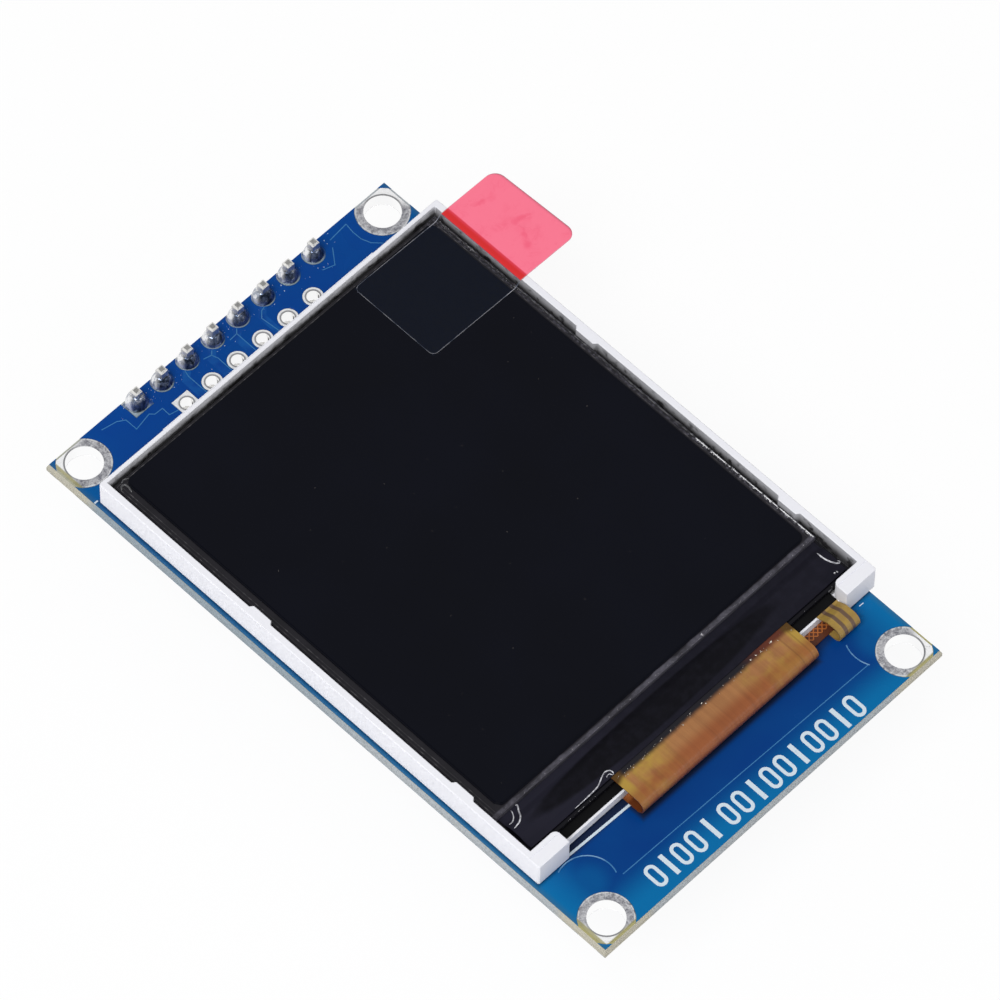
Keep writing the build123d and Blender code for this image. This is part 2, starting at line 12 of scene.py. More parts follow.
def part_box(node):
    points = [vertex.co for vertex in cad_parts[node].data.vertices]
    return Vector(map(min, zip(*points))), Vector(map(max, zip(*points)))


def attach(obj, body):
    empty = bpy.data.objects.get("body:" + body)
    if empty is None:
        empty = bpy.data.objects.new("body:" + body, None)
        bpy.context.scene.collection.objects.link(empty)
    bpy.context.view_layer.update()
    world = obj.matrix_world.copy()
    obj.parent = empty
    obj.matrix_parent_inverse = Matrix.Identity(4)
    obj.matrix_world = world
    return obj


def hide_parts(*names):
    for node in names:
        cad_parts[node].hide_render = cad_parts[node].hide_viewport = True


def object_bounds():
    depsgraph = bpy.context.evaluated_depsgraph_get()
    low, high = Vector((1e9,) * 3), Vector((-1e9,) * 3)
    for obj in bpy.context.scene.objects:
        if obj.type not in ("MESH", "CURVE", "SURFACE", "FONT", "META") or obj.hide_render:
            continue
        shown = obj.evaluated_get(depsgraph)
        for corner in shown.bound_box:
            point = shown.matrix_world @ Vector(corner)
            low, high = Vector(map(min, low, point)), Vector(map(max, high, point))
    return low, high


bl_info = {
    "name": "Display module looks",
    "version": (1, 0, 0),
    "blender": (4, 5, 0),
    "location": "3D View > Sidebar > Display Module",
    "description": "Finishes, print and fine details of a colour display module on its board",
    "category": "Object",
}

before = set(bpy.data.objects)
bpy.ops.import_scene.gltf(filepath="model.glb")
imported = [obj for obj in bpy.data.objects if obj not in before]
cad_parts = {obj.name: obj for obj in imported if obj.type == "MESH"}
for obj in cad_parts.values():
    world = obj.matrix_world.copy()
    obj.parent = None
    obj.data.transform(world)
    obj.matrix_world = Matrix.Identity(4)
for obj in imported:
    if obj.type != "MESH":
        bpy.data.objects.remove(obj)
cad_low, cad_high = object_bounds()
MM = 0.001


def box_mm(node):
    """Lowest and highest corner of a node, in millimetres."""
    low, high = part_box(node)
    return low / MM, high / MM


_, board_high = box_mm("circuit_board")
_, mask_high = box_mm("front_solder_mask")
rear_low, _ = box_mm("rear_solder_mask")
pins_low, pins_high = box_mm("header_pins")
plate_low, plate_high = box_mm("mounting_rings")
rim_low, rim_high = box_mm("backlight_frame")
filter_low, filter_high = box_mm("colour_filter_glass")
array_low, array_high = box_mm("array_glass")
polariser_low, polariser_high = box_mm("front_polariser")
film_low, film_high = box_mm("protective_film")
cover_low, _ = box_mm("ledge_cover")
flex_low, flex_high = box_mm("display_flex")
_, tail_high = box_mm("backlight_flex")
_, tab_high = box_mm("pull_tab")

# Places on the module, in millimetres
PITCH = 2.54
PINS, SPARES = 8, 6
HEADER_ROW = (pins_low.y + pins_high.y) / 2
SPARE_ROW = HEADER_ROW - PITCH
HOLE_X, HOLE_Y = 15.0, 25.95
HOLE_WALL, RING_EDGE = 1.4, 2.02
PIN_WALL, LAND_EDGE = 0.5, 0.8
WING_WIDTH, TAIL_WIDTH = 4.4, 2.0
FLEX_RIGHT = flex_high.x - WING_WIDTH
LEFT_PATCH, RIGHT_PATCH = (-13.99, -23.13), (14.84, -23.84)
PRINT_SLOPE = 0.0224  # the pour and the print turn this much from the board's end
SINK = 0.004  # a line on a face reaches this far into it
INK = 0.016  # height of the print
TAB_START, TAB_END = 7.95, 22.42
TAB_NEAR, TAB_FAR = 13.54, 21.6
TAB_LEAN, TAB_PIVOT = 0.0164, 22.0
GLINT_INSET = 0.12  # from the side of the glass to its bright line
EVEN = (1, 1, 1)  # a noise that isn't stretched


def tint(name, description, default):
    """Colour property."""
    colour = {"default": default, "size": 3, "min": 0.0, "max": 1.0, "subtype": "COLOR"}
    return FloatVectorProperty(name=name, description=description, **colour)


def size(name, description, default):
    """Length property, its default given in millimetres."""
    measure = {"default": default * MM, "min": 0.0, "subtype": "DISTANCE", "unit": "LENGTH"}
    return FloatProperty(name=name, description=description, **measure)


def share(name, description, default, subtype="FACTOR", least=0.0):
    """Plain number property."""
    number = {"default": default, "min": least, "subtype": subtype}
    return FloatProperty(name=name, description=description, **number)


class BoardLooks(bpy.types.PropertyGroup):
    """Carrier board, its mask and its print."""

    mask: tint("Mask", "Mask over bare laminate", (0.0012, 0.04, 0.205))
    head: tint("Head", "Mask along the header", (0.002, 0.05, 0.265))
    band: tint("Band", "Mask over a wide track", (0.005, 0.083, 0.325))
    pour: tint("Pour", "Mask over the copper pour", (0.0022, 0.14, 0.36))
    track: tint("Track edge", "Mask where it steps over a copper edge", (0.19, 0.36, 0.56))
    # Painted shade on the mask, where the frame and the flex shadow it
    shadow: tint("Shadow", "Painted shade in the gap below the frame and the flex", (0.008, 0.012, 0.027))
    cut: tint("Cut edge", "Sawn edge of the laminate", (0.29, 0.345, 0.385))
    cut_pale: tint("Cut edge pale", "Sawn edge towards the flex end", (0.42, 0.45, 0.47))
    cut_dark: tint("Cut edge dark", "Loose fibres in the sawn edge", (0.2, 0.235, 0.26))
    resin: tint("Resin", "Bare laminate along the board's edge", (0.4, 0.37, 0.17))
    tan: tint("Tan", "Sawn edge beside the mounting holes", (0.52, 0.48, 0.37))
    bare: tint("Bare", "Laminate under thin mask", (0.045, 0.125, 0.2))
    printing: tint("Print", "Printed lines and marks", (0.62, 0.71, 0.78))
    track_width: size("Track width", "Width of the copper edge lines", 0.085)
    outline_width: size("Outline width", "Width of the printed display outline", 0.2)
    mark_height: size("Mark height", "Height of the printed marks", 1.95)


class MetalLooks(bpy.types.PropertyGroup):
    """Tinned holes, solder and pins."""

    tin: tint("Tin", "Bright side of the tinning", (0.8, 0.8, 0.82))
    dull_tin: tint("Dull tin", "Dull side of the tinning", (0.2, 0.2, 0.235))
    # Gleam is a painted highlight on the tinning, and the colour after it is painted shade at a
    # hole's inner edge.
    gleam: tint("Gleam", "Painted highlight on the tinning", (0.97, 0.97, 0.97))
    edge_shade: tint("Lip", "Painted shade at the inner edge of a plated hole", (0.13, 0.13, 0.14))
    land: tint("Land", "Edge of a land under flux", (0.36, 0.43, 0.47))
    wall: tint("Wall", "Polished wall of a plated hole", (0.98, 0.98, 0.98))
    solder: tint("Solder", "Solder joint", (0.86, 0.86, 0.87))
    # Solder blue and solder dark are painted: the board's blue reflection and the shade on a
    # joint's shaded flank.
    solder_blue: tint("Solder blue", "Painted blue reflection on a joint's shaded flank", (0.15, 0.19, 0.28))
    solder_dark: tint("Solder dark", "Hollows of a solder joint", (0.018, 0.028, 0.05))
    pin: tint("Pin", "Plated pin", (0.8, 0.79, 0.76))
    flux: tint("Flux", "Flecks of dried flux", (0.6, 0.72, 0.85))
    solder_wobble: share("Solder wobble", "Unevenness of a solder joint", 0.05)


class FrameLooks(bpy.types.PropertyGroup):
    """White moulded frame and the sheets behind the display."""

    plastic: tint("Plastic", "White moulding", (0.85, 0.85, 0.895))
    shade: tint("Shade", "Soiled white", (0.7, 0.69, 0.7))
    # Depth is the painted shade on the inner walls down by the glass
    depth: tint("Depth", "Inner walls down by the glass", (0.03, 0.029, 0.031))
    film: tint("Film", "Diffuser and reflector films", (0.8, 0.8, 0.81))
    guide: tint("Guide", "Clear light guide", (0.78, 0.82, 0.85))
    foam: tint("Foam", "Mounting tape", (0.68, 0.68, 0.67))


class DisplayLooks(bpy.types.PropertyGroup):
    """Display cell and the tape over its ledge."""

    screen: tint("Screen", "Dark polariser", (0.0021, 0.0025, 0.0056))
    screen_blue: tint("Screen blue", "Bluer part of the polariser", (0.004, 0.005, 0.0125))
    screen_tab: tint("Screen under tab", "Polariser under the tab's film", (0.0042, 0.006, 0.0125))
    border: tint("Border", "Bare glass round the polariser", (0.017, 0.016, 0.02))
    glass_line: tint("Glass line", "Ground edge of the glass", (0.1, 0.096, 0.12))
    # Glint is the painted glint on the chips and on the glass's right edge
    glint: tint("Glint", "Painted glints on broken glass", (0.9, 0.9, 0.92))
    cover: tint("Cover", "Cover tape on the ledge", (0.005, 0.0048, 0.0072))
    # Cover sheen is a painted sheen on the tape, with scuffs
    cover_sheen: tint("Cover sheen", "Painted sheen and scuffs on the cover tape", (0.0155, 0.015, 0.0245))
    sealant: tint("Sealant", "Clear sealant beads", (0.7, 0.7, 0.73))
    fleck_count: IntProperty(
        name="Flecks", description="Dust flecks on the screen", default=34, min=0
    )


class FlexLooks(bpy.types.PropertyGroup):
    """Amber printed flexes."""

    amber: tint("Amber", "Polyimide over copper", (0.3, 0.094, 0.031))
    # Upper is a painted highlight on the lit upper side of the roll
    upper: tint("Upper", "Upper side of the roll", (0.375, 0.168, 0.063))
    margin: tint("Margin", "Clear margin without copper", (0.44, 0.29, 0.045))
    deep: tint("Deep", "Folded and shaded parts", (0.1, 0.03, 0.014))
    # Inside is the inner side of the roll in painted shade
    inside: tint("Inside", "Inner side of the roll", (0.13, 0.032, 0.008))
    hatch: tint("Hatch", "Copper grid on the wing", (0.42, 0.13, 0.03))
    ochre: tint("Ochre", "Backlight tail", (0.31, 0.195, 0.05))
    trace: tint("Trace", "Dark tracks on the backlight tail", (0.11, 0.065, 0.05))


class TabLooks(bpy.types.PropertyGroup):
    """Pull tab."""

    haze: tint("Haze", "Clear length on the screen", (0.1, 0.15, 0.27))
    line: tint("Line", "Cut edge of the film", (0.5, 0.48, 0.5))
    red: tint("Red", "Glued length over the rim", (0.68, 0.028, 0.03))
    pink: tint("Pink", "Free length", (1.0, 0.2, 0.3))
    # Crease is the painted shade in the creases and at the bend over the rim
    crease: tint("Crease", "Creases in the free length", (0.9, 0.09, 0.18))


class StageLooks(bpy.types.PropertyGroup):
    """Floor, light and camera."""

    floor: tint("Floor", "Floor and backdrop", (0.94, 0.94, 0.945))
    key: share("Key", "Power of the key lamp", 5.7, "POWER")
    side: share("Side", "Power of the side lamp", 1.0, "POWER")
    front: share("Front", "Power of the front lamp", 1.05, "POWER")
    sky: share("Sky", "Strength of the light from all round", 0.3)
    lens: share("Lens", "Focal length", 332.3, "DISTANCE_CAMERA", 1.0)


class Field:
    """A number that varies over a surface. Arithmetic on it adds Math nodes."""

    def __init__(self, finish, socket):
        self.finish = finish
        self.socket = socket

    def __add__(self, other):
        return self.finish.math("ADD", self, other)

    __radd__ = __add__

    def __sub__(self, other):
        return self.finish.math("SUBTRACT", self, other)

    def __rsub__(self, other):
        return self.finish.math("SUBTRACT", other, self)

    def __mul__(self, other):
        return self.finish.math("MULTIPLY", self, other)

    __rmul__ = __mul__

    def __truediv__(self, other):
        return self.finish.math("DIVIDE", self, other)

    def __pow__(self, other):
        return self.finish.math("POWER", self, other)

    def __abs__(self):
        return self.finish.math("ABSOLUTE", self)

    def least(self, other):
        """The smaller of the two."""
        return self.finish.math("MINIMUM", self, other)

    def most(self, other):
        """The larger of the two."""
        return self.finish.math("MAXIMUM", self, other)

    def fraction(self):
        """What is left after whole numbers."""
        return self.finish.math("FRACT", self)

    def rise(self, low, high):
        """0 at low and 1 at high, smooth between. It falls where low is above high."""
        made = self.finish.node(
            "ShaderNodeMapRange",
            {"interpolation_type": "SMOOTHSTEP"},
            {"Value": self, "From Min": low, "From Max": high},
        )
        return Field(self.finish, made.outputs["Result"])


class Finish:
    """Nodes of one material."""

    def __init__(self, name, shine=0.5, **constants):
        self.material = bpy.data.materials.new(name)
        self.material.use_nodes = True
        self.tree = self.material.node_tree
        self.tree.nodes.clear()
        self.spot = None
        constants["Specular IOR Level"] = shine
        self.shader = self.node("ShaderNodeBsdfPrincipled", {}, constants)
        surface = {"Surface": self.shader.outputs["BSDF"]}
        self.output = self.node("ShaderNodeOutputMaterial", {}, surface)

    def node(self, kind, settings, sockets):
        """Adds a node: its settings first, then the values and links of its sockets."""
        made = self.tree.nodes.new(kind)
        for name, setting in settings.items():
            setattr(made, name, setting)
        for key, given in sockets.items():
            self.feed(made.inputs[key], given)
        return made

    def feed(self, socket, given):
        """Links a socket or sets its value."""
        if isinstance(given, Field):
            given = given.socket
        if isinstance(given, bpy.types.NodeSocket):
            self.tree.links.new(given, socket)
        elif socket.type == "RGBA":
            socket.default_value = (*given, 1.0)
        else:
            socket.default_value = given

    def math(self, operation, *terms):
        """Math node on one or two terms."""
        made = self.node("ShaderNodeMath", {"operation": operation}, dict(enumerate(terms)))
        return Field(self, made.outputs[0])

    def vector(self, operation, sockets):
        """Vector Math node."""
        return self.node("ShaderNodeVectorMath", {"operation": operation}, sockets).outputs[0]

    def place(self, stretch=EVEN):
        """Position on the module, in millimetres, with each axis stretched."""
        if self.spot is None:
            coords = self.node("ShaderNodeTexCoord", {}, {})
            self.spot = self.vector("SCALE", {0: coords.outputs["Object"], "Scale": 1 / MM})
        if stretch == EVEN:
            return self.spot
        return self.vector("MULTIPLY", {0: self.spot, 1: stretch})

    def axes(self):
        """The three coordinates on the module, in millimetres."""
        parts = self.node("ShaderNodeSeparateXYZ", {}, {0: self.place()})
        return [Field(self, out) for out in parts.outputs]

    def noise(self, scale, detail=2.0, rough=0.5, stretch=EVEN, twist=0.0):
        """Cloudy noise with so many lumps to the millimetre."""
        sockets = {"Scale": scale, "Detail": detail, "Roughness": rough, "Distortion": twist}
        made = self.node("ShaderNodeTexNoise", {}, {"Vector": self.place(stretch), **sockets})
        return Field(self, made.outputs[0])

    def cells(self, scale):
        """Distance to the nearest of scattered points."""
        made = self.node("ShaderNodeTexVoronoi", {}, {"Vector": self.place(), "Scale": scale})
        return Field(self, made.outputs["Distance"])

    def stroke(self, start, end, width):
        """Soft ragged stroke on a level face, a point at its start and so wide at its end."""
        x, y, _ = self.axes()
        run = Vector(end) - Vector(start)
        dx, dy = x - start[0], y - start[1]
        along = ((dx * run.x + dy * run.y) / run.length_squared).most(0.0).least(1.0)
        off = apart(dx - along * run.x, dy - along * run.y)
        return (off + 0.9 * (self.noise(1.4, 3.0, 0.6) - 0.5)).rise(along * width + 0.1, 0.0)

    def mix(self, amount, first, second):
        """Colour between two colours."""
        made = self.node("ShaderNodeMix", {"data_type": "RGBA"}, {0: amount, 6: first, 7: second})
        return made.outputs[2]

    def relief(self, height, depth):
        """Normal of a relief so many millimetres deep."""
        sockets = {"Height": height, "Distance": depth * MM}
        return self.node("ShaderNodeBump", {}, sockets).outputs[0]

    def use(self, **fed):
        """Feeds the shader: underscores stand for spaces."""
        for name, given in fed.items():
            self.feed(self.shader.inputs[name.replace("_", " ")], given)
        return self

    def dress(self, *names):
        """Puts this finish on CAD nodes."""
        for name in names:
            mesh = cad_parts[name].data
            mesh.materials.clear()
            mesh.materials.append(self.material)


class Shape:
    """Vertices, in millimetres, and faces of a new piece."""

    def __init__(self):
        self.verts = []
        self.faces = []

    def add(self, verts, faces):
        """Adds a closed form."""
        start = len(self.verts)
        self.verts.extend(verts)
        self.faces.extend([[start + i for i in face] for face in faces])

    def loft(self, rings, closed=False):
        """Skins rings of equal length and caps the ends."""
        count = len(rings[0])
        faces = []
        steps = len(rings) if closed else len(rings) - 1
        for r in range(steps):
            here, there = r * count, (r + 1) % len(rings) * count
            for i in range(count):
                j = (i + 1) % count
                faces.append([here + i, here + j, there + j, there + i])
        if not closed:
            faces.append(list(reversed(range(count))))
            faces.append([(len(rings) - 1) * count + i for i in range(count)])
        self.add([v for ring in rings for v in ring], faces)

    def ribbon(self, points, width, bottom, top, closed=False):
        """Flat line along points on a level face."""
        path = [Vector(p[:2]) for p in points]
        rings = []
        for i, here in enumerate(path):
            before = path[i - 1] if i or closed else here
            after = path[(i + 1) % len(path)] if i + 1 < len(path) or closed else here
            arrive = (here - before).normalized() if here != before else (after - here).normalized()
            leave = (after - here).normalized() if after != here else arrive
            along = (arrive + leave).normalized()
            side = Vector((-along.y, along.x)) * (width / 2 / max(along.dot(leave), 0.4))
            left, right = here + side, here - side
            rings.append([(*left, bottom), (*right, bottom), (*right, top), (*left, top)])
        self.loft(rings, closed)

    def lines(self, runs, width, face, proud):
        """Flat lines that stand proud of a level face, on its underside where proud is below 0."""
        for run in runs:
            self.ribbon(run, width, *sorted((face - math.copysign(SINK, proud), face + proud)))

    def bead(self, points, radius, sides=8):
        """Round bead along points, thinner at its ends."""
        rings = []
        last = len(points) - 1
        for i, here in enumerate(points):
            along = (points[min(i + 1, last)] - points[max(i - 1, 0)]).normalized()
            across = along.cross(Vector((0, 0, 1))).normalized()
            lift = across.cross(along)
            thin = radius * (0.35 + 0.65 * min(1.0, 6.0 * i / last, 6.0 * (last - i) / last))
            rings.append([here + thin * (c * across + s * lift) for c, s in circle(sides)])
        self.loft(rings)

    def lathe(self, centre, profile, sides, wobble, chance):
        """Turned form about an upright axis, a little uneven."""
        lobes = []
        for k in (1, 2, 3, 5):
            lobes.append((k, chance.uniform(-1, 1) * wobble / k, chance.uniform(0, 6.28)))
        rings = []
        for radius, height in profile:
            ring = []
            for s in range(sides):
                t = 2 * math.pi * s / sides
                waves = (part * math.sin(k * t + phase + 1.3 * height) for k, part, phase in lobes)
                reach = radius * (1 + sum(waves))
                ring.append(centre + Vector((reach * math.cos(t), reach * math.sin(t), height)))
            rings.append(ring)
        self.loft(rings)

    def chip(self, x, y, z, spread, height, chance):
        """Tiny broken fleck lying on a face."""
        centre = Vector((x, y, z))
        count = chance.randint(4, 6)
        turn = sorted(chance.uniform(0, 2 * math.pi) for _ in range(count))
        low = []
        for t in turn:
            out = Vector((math.cos(t) * spread, math.sin(t) * spread, 0))
            low.append(centre + out * chance.uniform(0.5, 1.0))
        faces = [list(reversed(range(count)))]
        faces += [[i, (i + 1) % count, count] for i in range(count)]
        self.add([*low, centre + Vector((0, 0, height))], faces)

    def piece(self, name, finish, smooth=False):
        """Makes the object, which rides on the module."""
        mesh = bpy.data.meshes.new(name)
        mesh.from_pydata([Vector(v) * MM for v in self.verts], [], self.faces)
        mesh.update()
        mesh.materials.append(finish.material)
        for face in mesh.polygons:
            face.use_smooth = smooth
        made = bpy.data.objects.new(name, mesh)
        bpy.context.scene.collection.objects.link(made)
        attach(made, "root")
        return made


def circle(sides):
    """Cosine and sine of evenly spaced turns."""
    turn = [2 * math.pi * i / sides for i in range(sides)]
    return [(math.cos(t), math.sin(t)) for t in turn]


def curve_through(points, steps=8):
    """Smooth line through points."""
    ends = [points[0], *points, points[-1]]
    line = []
    for a, b, c, d in zip(ends, ends[1:], ends[2:], ends[3:]):
        for s in range(steps):
            t = s / steps
            square, cube = 2 * a - 5 * b + 4 * c - d, 3 * b - a - 3 * c + d
            line.append(0.5 * (2 * b + (c - a) * t + square * t * t + cube * t**3))
    return [*line, points[-1]]


def arc(x, y, radius, start, end, steps=16):
    """Points on a level arc, angles in degrees."""
    turn = [math.radians(start + (end - start) * i / steps) for i in range(steps + 1)]
    return [Vector((x + radius * math.cos(t), y + radius * math.sin(t))) for t in turn]


def top_of(*names):
    """Finder of the height of the highest of some nodes at a place, in millimetres."""
    trees = []
    for name in names:
        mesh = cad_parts[name].data
        corners = [v.co for v in mesh.vertices]
        trees.append(BVHTree.FromPolygons(corners, [list(p.vertices) for p in mesh.polygons]))

    def height(x, y):
        above, down = Vector((x * MM, y * MM, 0.1)), Vector((0, 0, -1))
        found = [tree.ray_cast(above, down)[0] for tree in trees]
        levels = [hit.z / MM for hit in found if hit]
        if not levels:
            raise RuntimeError(f"nothing lies under {x:.2f}, {y:.2f} on {', '.join(names)}")
        return max(levels)

    return height


def pin_x(i, count):
    """Place of a hole along its row."""
    return (i - (count - 1) / 2) * PITCH


def apart(x, y):
    """Length of a level step."""
    return (x**2.0 + y**2.0) ** 0.5


def margin(x, y, low, high):
    """How far a place lies inside a level rectangle, below 0 outside it."""
    return (x - low[0]).least(high[0] - x).least(y - low[1]).least(high[1] - y)


def off_pin(x):
    """How far past the nearest hole, along a row."""
    return ((x / PITCH).fraction() - 0.5) * PITCH


def on_tab(x, y):
    """Place across the leaning pull tab."""
    return y + TAB_LEAN * (x - TAB_PIVOT)


def mounting_hole(x, y):
    """Reach from the nearest mounting hole, its wall, its ring's edge and the side of its ring that
    gets a painted highlight.
    """
    bright = (abs(x) + abs(y) - HOLE_X - HOLE_Y).rise(0.2, 1.6)
    return apart(abs(x) - HOLE_X, abs(y) - HOLE_Y), HOLE_WALL, RING_EDGE, bright


def pin_hole(x, y):
    """Reach from the nearest hole of the two rows, its wall, its land's edge and the strength of
    its painted highlight.
    """
    across = abs(y - HEADER_ROW).least(abs(y - SPARE_ROW))
    return apart(off_pin(x), across), PIN_WALL, LAND_EDGE, 0.9


def plated(name, looks, grain, hole):
    """Tinned land round a plated hole, with a painted highlight and a painted shade line at its
    inner edge. The hole gives its reach, wall, edge and the side where the highlight is painted.
    """
    made = Finish(name)
    x, y, z = made.axes()
    reach, wall, edge, bright = hole(x, y)
    cloud = made.noise(grain, 3.0, 0.6, EVEN, 0.8)
    fine = made.noise(grain * 4)
    deep = (plate_high.z - z).least(z - plate_low.z).rise(0.003, 0.02)
    inner = reach.rise(wall + 0.05, wall + 0.03) * deep
    # Painted shade: a dark line just inside the hole's edge, on its highlighted side.
    edge_shade = reach.rise(wall + 0.16, wall + 0.08) * bright
    outer = reach.rise(edge - 0.13, edge - 0.08) * cloud.rise(0.35, 0.55)
    mottle = cloud.rise(0.34, 0.7) * 0.7 + 0.3 * fine.rise(0.35, 0.65)
    colour = made.mix(mottle, looks.dull_tin, looks.tin)
    # Painted highlight: the highlighted side and patches along the outer edge turn near white, and
    # that side is made less metallic.
    colour = made.mix((bright * cloud.rise(0.15, 0.4)).most(outer * 0.7), colour, looks.gleam)
    colour = made.mix(inner, made.mix(edge_shade * 0.85, colour, looks.edge_shade), looks.wall)
    made.use(
        Base_Color=colour,
        Metallic=0.45 - 0.3 * bright * (1.0 - inner) + 0.55 * inner,
        Roughness=(0.26 + 0.2 * fine) * (1.0 - inner) + 0.1 * inner,
        Normal=made.relief((cloud + 0.15 * fine) * (1.0 - inner), 0.06),
    )
    return made


def moulded(name, colour, blemish, roughness, shine=0.5):
    """Moulded plastic with a fine skin and a few rubbed places."""
    made = Finish(name, shine)
    skin = made.noise(14.0)
    cloud = made.noise(0.35, 3.0)
    specks = made.cells(1.1).rise(0.09, 0.05) * made.noise(0.4).rise(0.52, 0.6)
    return made.use(
        Base_Color=made.mix(cloud.rise(0.45, 0.75) * 0.35 + 0.5 * specks, colour, blemish),
        Roughness=roughness + 0.12 * skin,
        Normal=made.relief(skin, 0.003),
    )


class DressLaminate(bpy.types.Operator):
    """Finish the sawn laminate of the carrier board"""

    bl_idname = "display_module.laminate"
    bl_label = "Laminate"

    def execute(self, context):
        looks = context.scene.module_board
        made = Finish("glass_epoxy_laminate", 0.3)
        x, y, z = made.axes()
        layers = made.noise(1.6, 3.0, 0.6, (0.8, 0.8, 5.0))
        fibres = made.noise(6.0, 4.0, 0.65)
        sawn = made.mix(y.rise(5.0, -8.0), looks.cut, looks.cut_pale)
        sawn = made.mix(0.5 * fibres.rise(0.45, 0.7), sawn, looks.cut_dark)
        corner = abs(abs(x) - HOLE_X).rise(3.4, 1.9) * abs(abs(y) - HOLE_Y).rise(3.4, 1.9)
        sawn = made.mix(corner * (0.6 + 0.4 * layers), sawn, looks.tan)
        sawn = made.mix(layers.rise(0.55, 0.8) * 0.3, sawn, looks.resin)
        strip = made.mix((x + y).rise(-5.0, 25.0), looks.resin, looks.cut_pale)
        level = (z - board_high.z).rise(-0.03, -0.005).most(z.rise(0.03, 0.005))
        border = (abs(x) - board_high.x).most(abs(y) - board_high.y).rise(-0.75, -0.45)
        made.use(
            Base_Color=made.mix(level, sawn, made.mix(border, looks.bare, strip)),
            Roughness=0.62 + 0.3 * fibres,
            Normal=made.relief(fibres + 0.5 * layers, 0.07),
        )
        made.dress("circuit_board")
        return {"FINISHED"}


class DressMask(bpy.types.Operator):
    """Finish both faces of the solder mask"""

    bl_idname = "display_module.mask"
    bl_label = "Solder mask"

    def execute(self, context):
        looks = context.scene.module_board
        made = Finish("blue_solder_mask", 0.12)
        x, y, z = made.axes()
        cloud = made.noise(0.2)
        ends = (-24.55 - PRINT_SLOPE * x - y).rise(-0.3, 2.7)
        sides = abs(x).rise(12.4, 16.8) * (0.75 - 0.012 * y)
        left, right = (apart(x - spot[0], y - spot[1]) for spot in (LEFT_PATCH, RIGHT_PATCH))
        patches = left.rise(2.25, 0.6).most(right.rise(2.65, 1.0)) * 0.4
        copper = ends.most(sides).most(patches) * 0.95 + 0.1 * cloud.rise(0.3, 0.75)
        # Painted shade: the mask darkens in the gap under the frame's edges, under the rolled flex
        # and under its wing.
        below = margin(x, y, rim_low, rim_high).rise(-0.3, 0.35)
        flex_shade = margin(x, y, flex_low, (FLEX_RIGHT, 0.0)).rise(-0.4, 0.1)
        wing = (FLEX_RIGHT - 0.6, flex_low.y + 0.5), (flex_high.x + 0.3, 0.0)
        wing_shade = margin(x, y, *wing).rise(-0.3, 0.4) * 0.7
        gap = below.most(flex_shade).most(wing_shade) * z.rise(0.4, 0.8) * 0.9
        colour = made.mix(y.rise(15.0, 23.0), looks.mask, looks.head)
        colour = made.mix(copper, colour, looks.pour)
        colour = made.mix(abs(x).rise(16.3, 16.9) * 0.5, colour, looks.bare)
        made.use(
            Base_Color=made.mix(gap, colour, looks.shadow),
            Roughness=0.2 + 0.12 * cloud,
            Normal=made.relief(made.noise(3.0), 0.003),
        )
        made.dress("front_solder_mask", "rear_solder_mask")
        return {"FINISHED"}


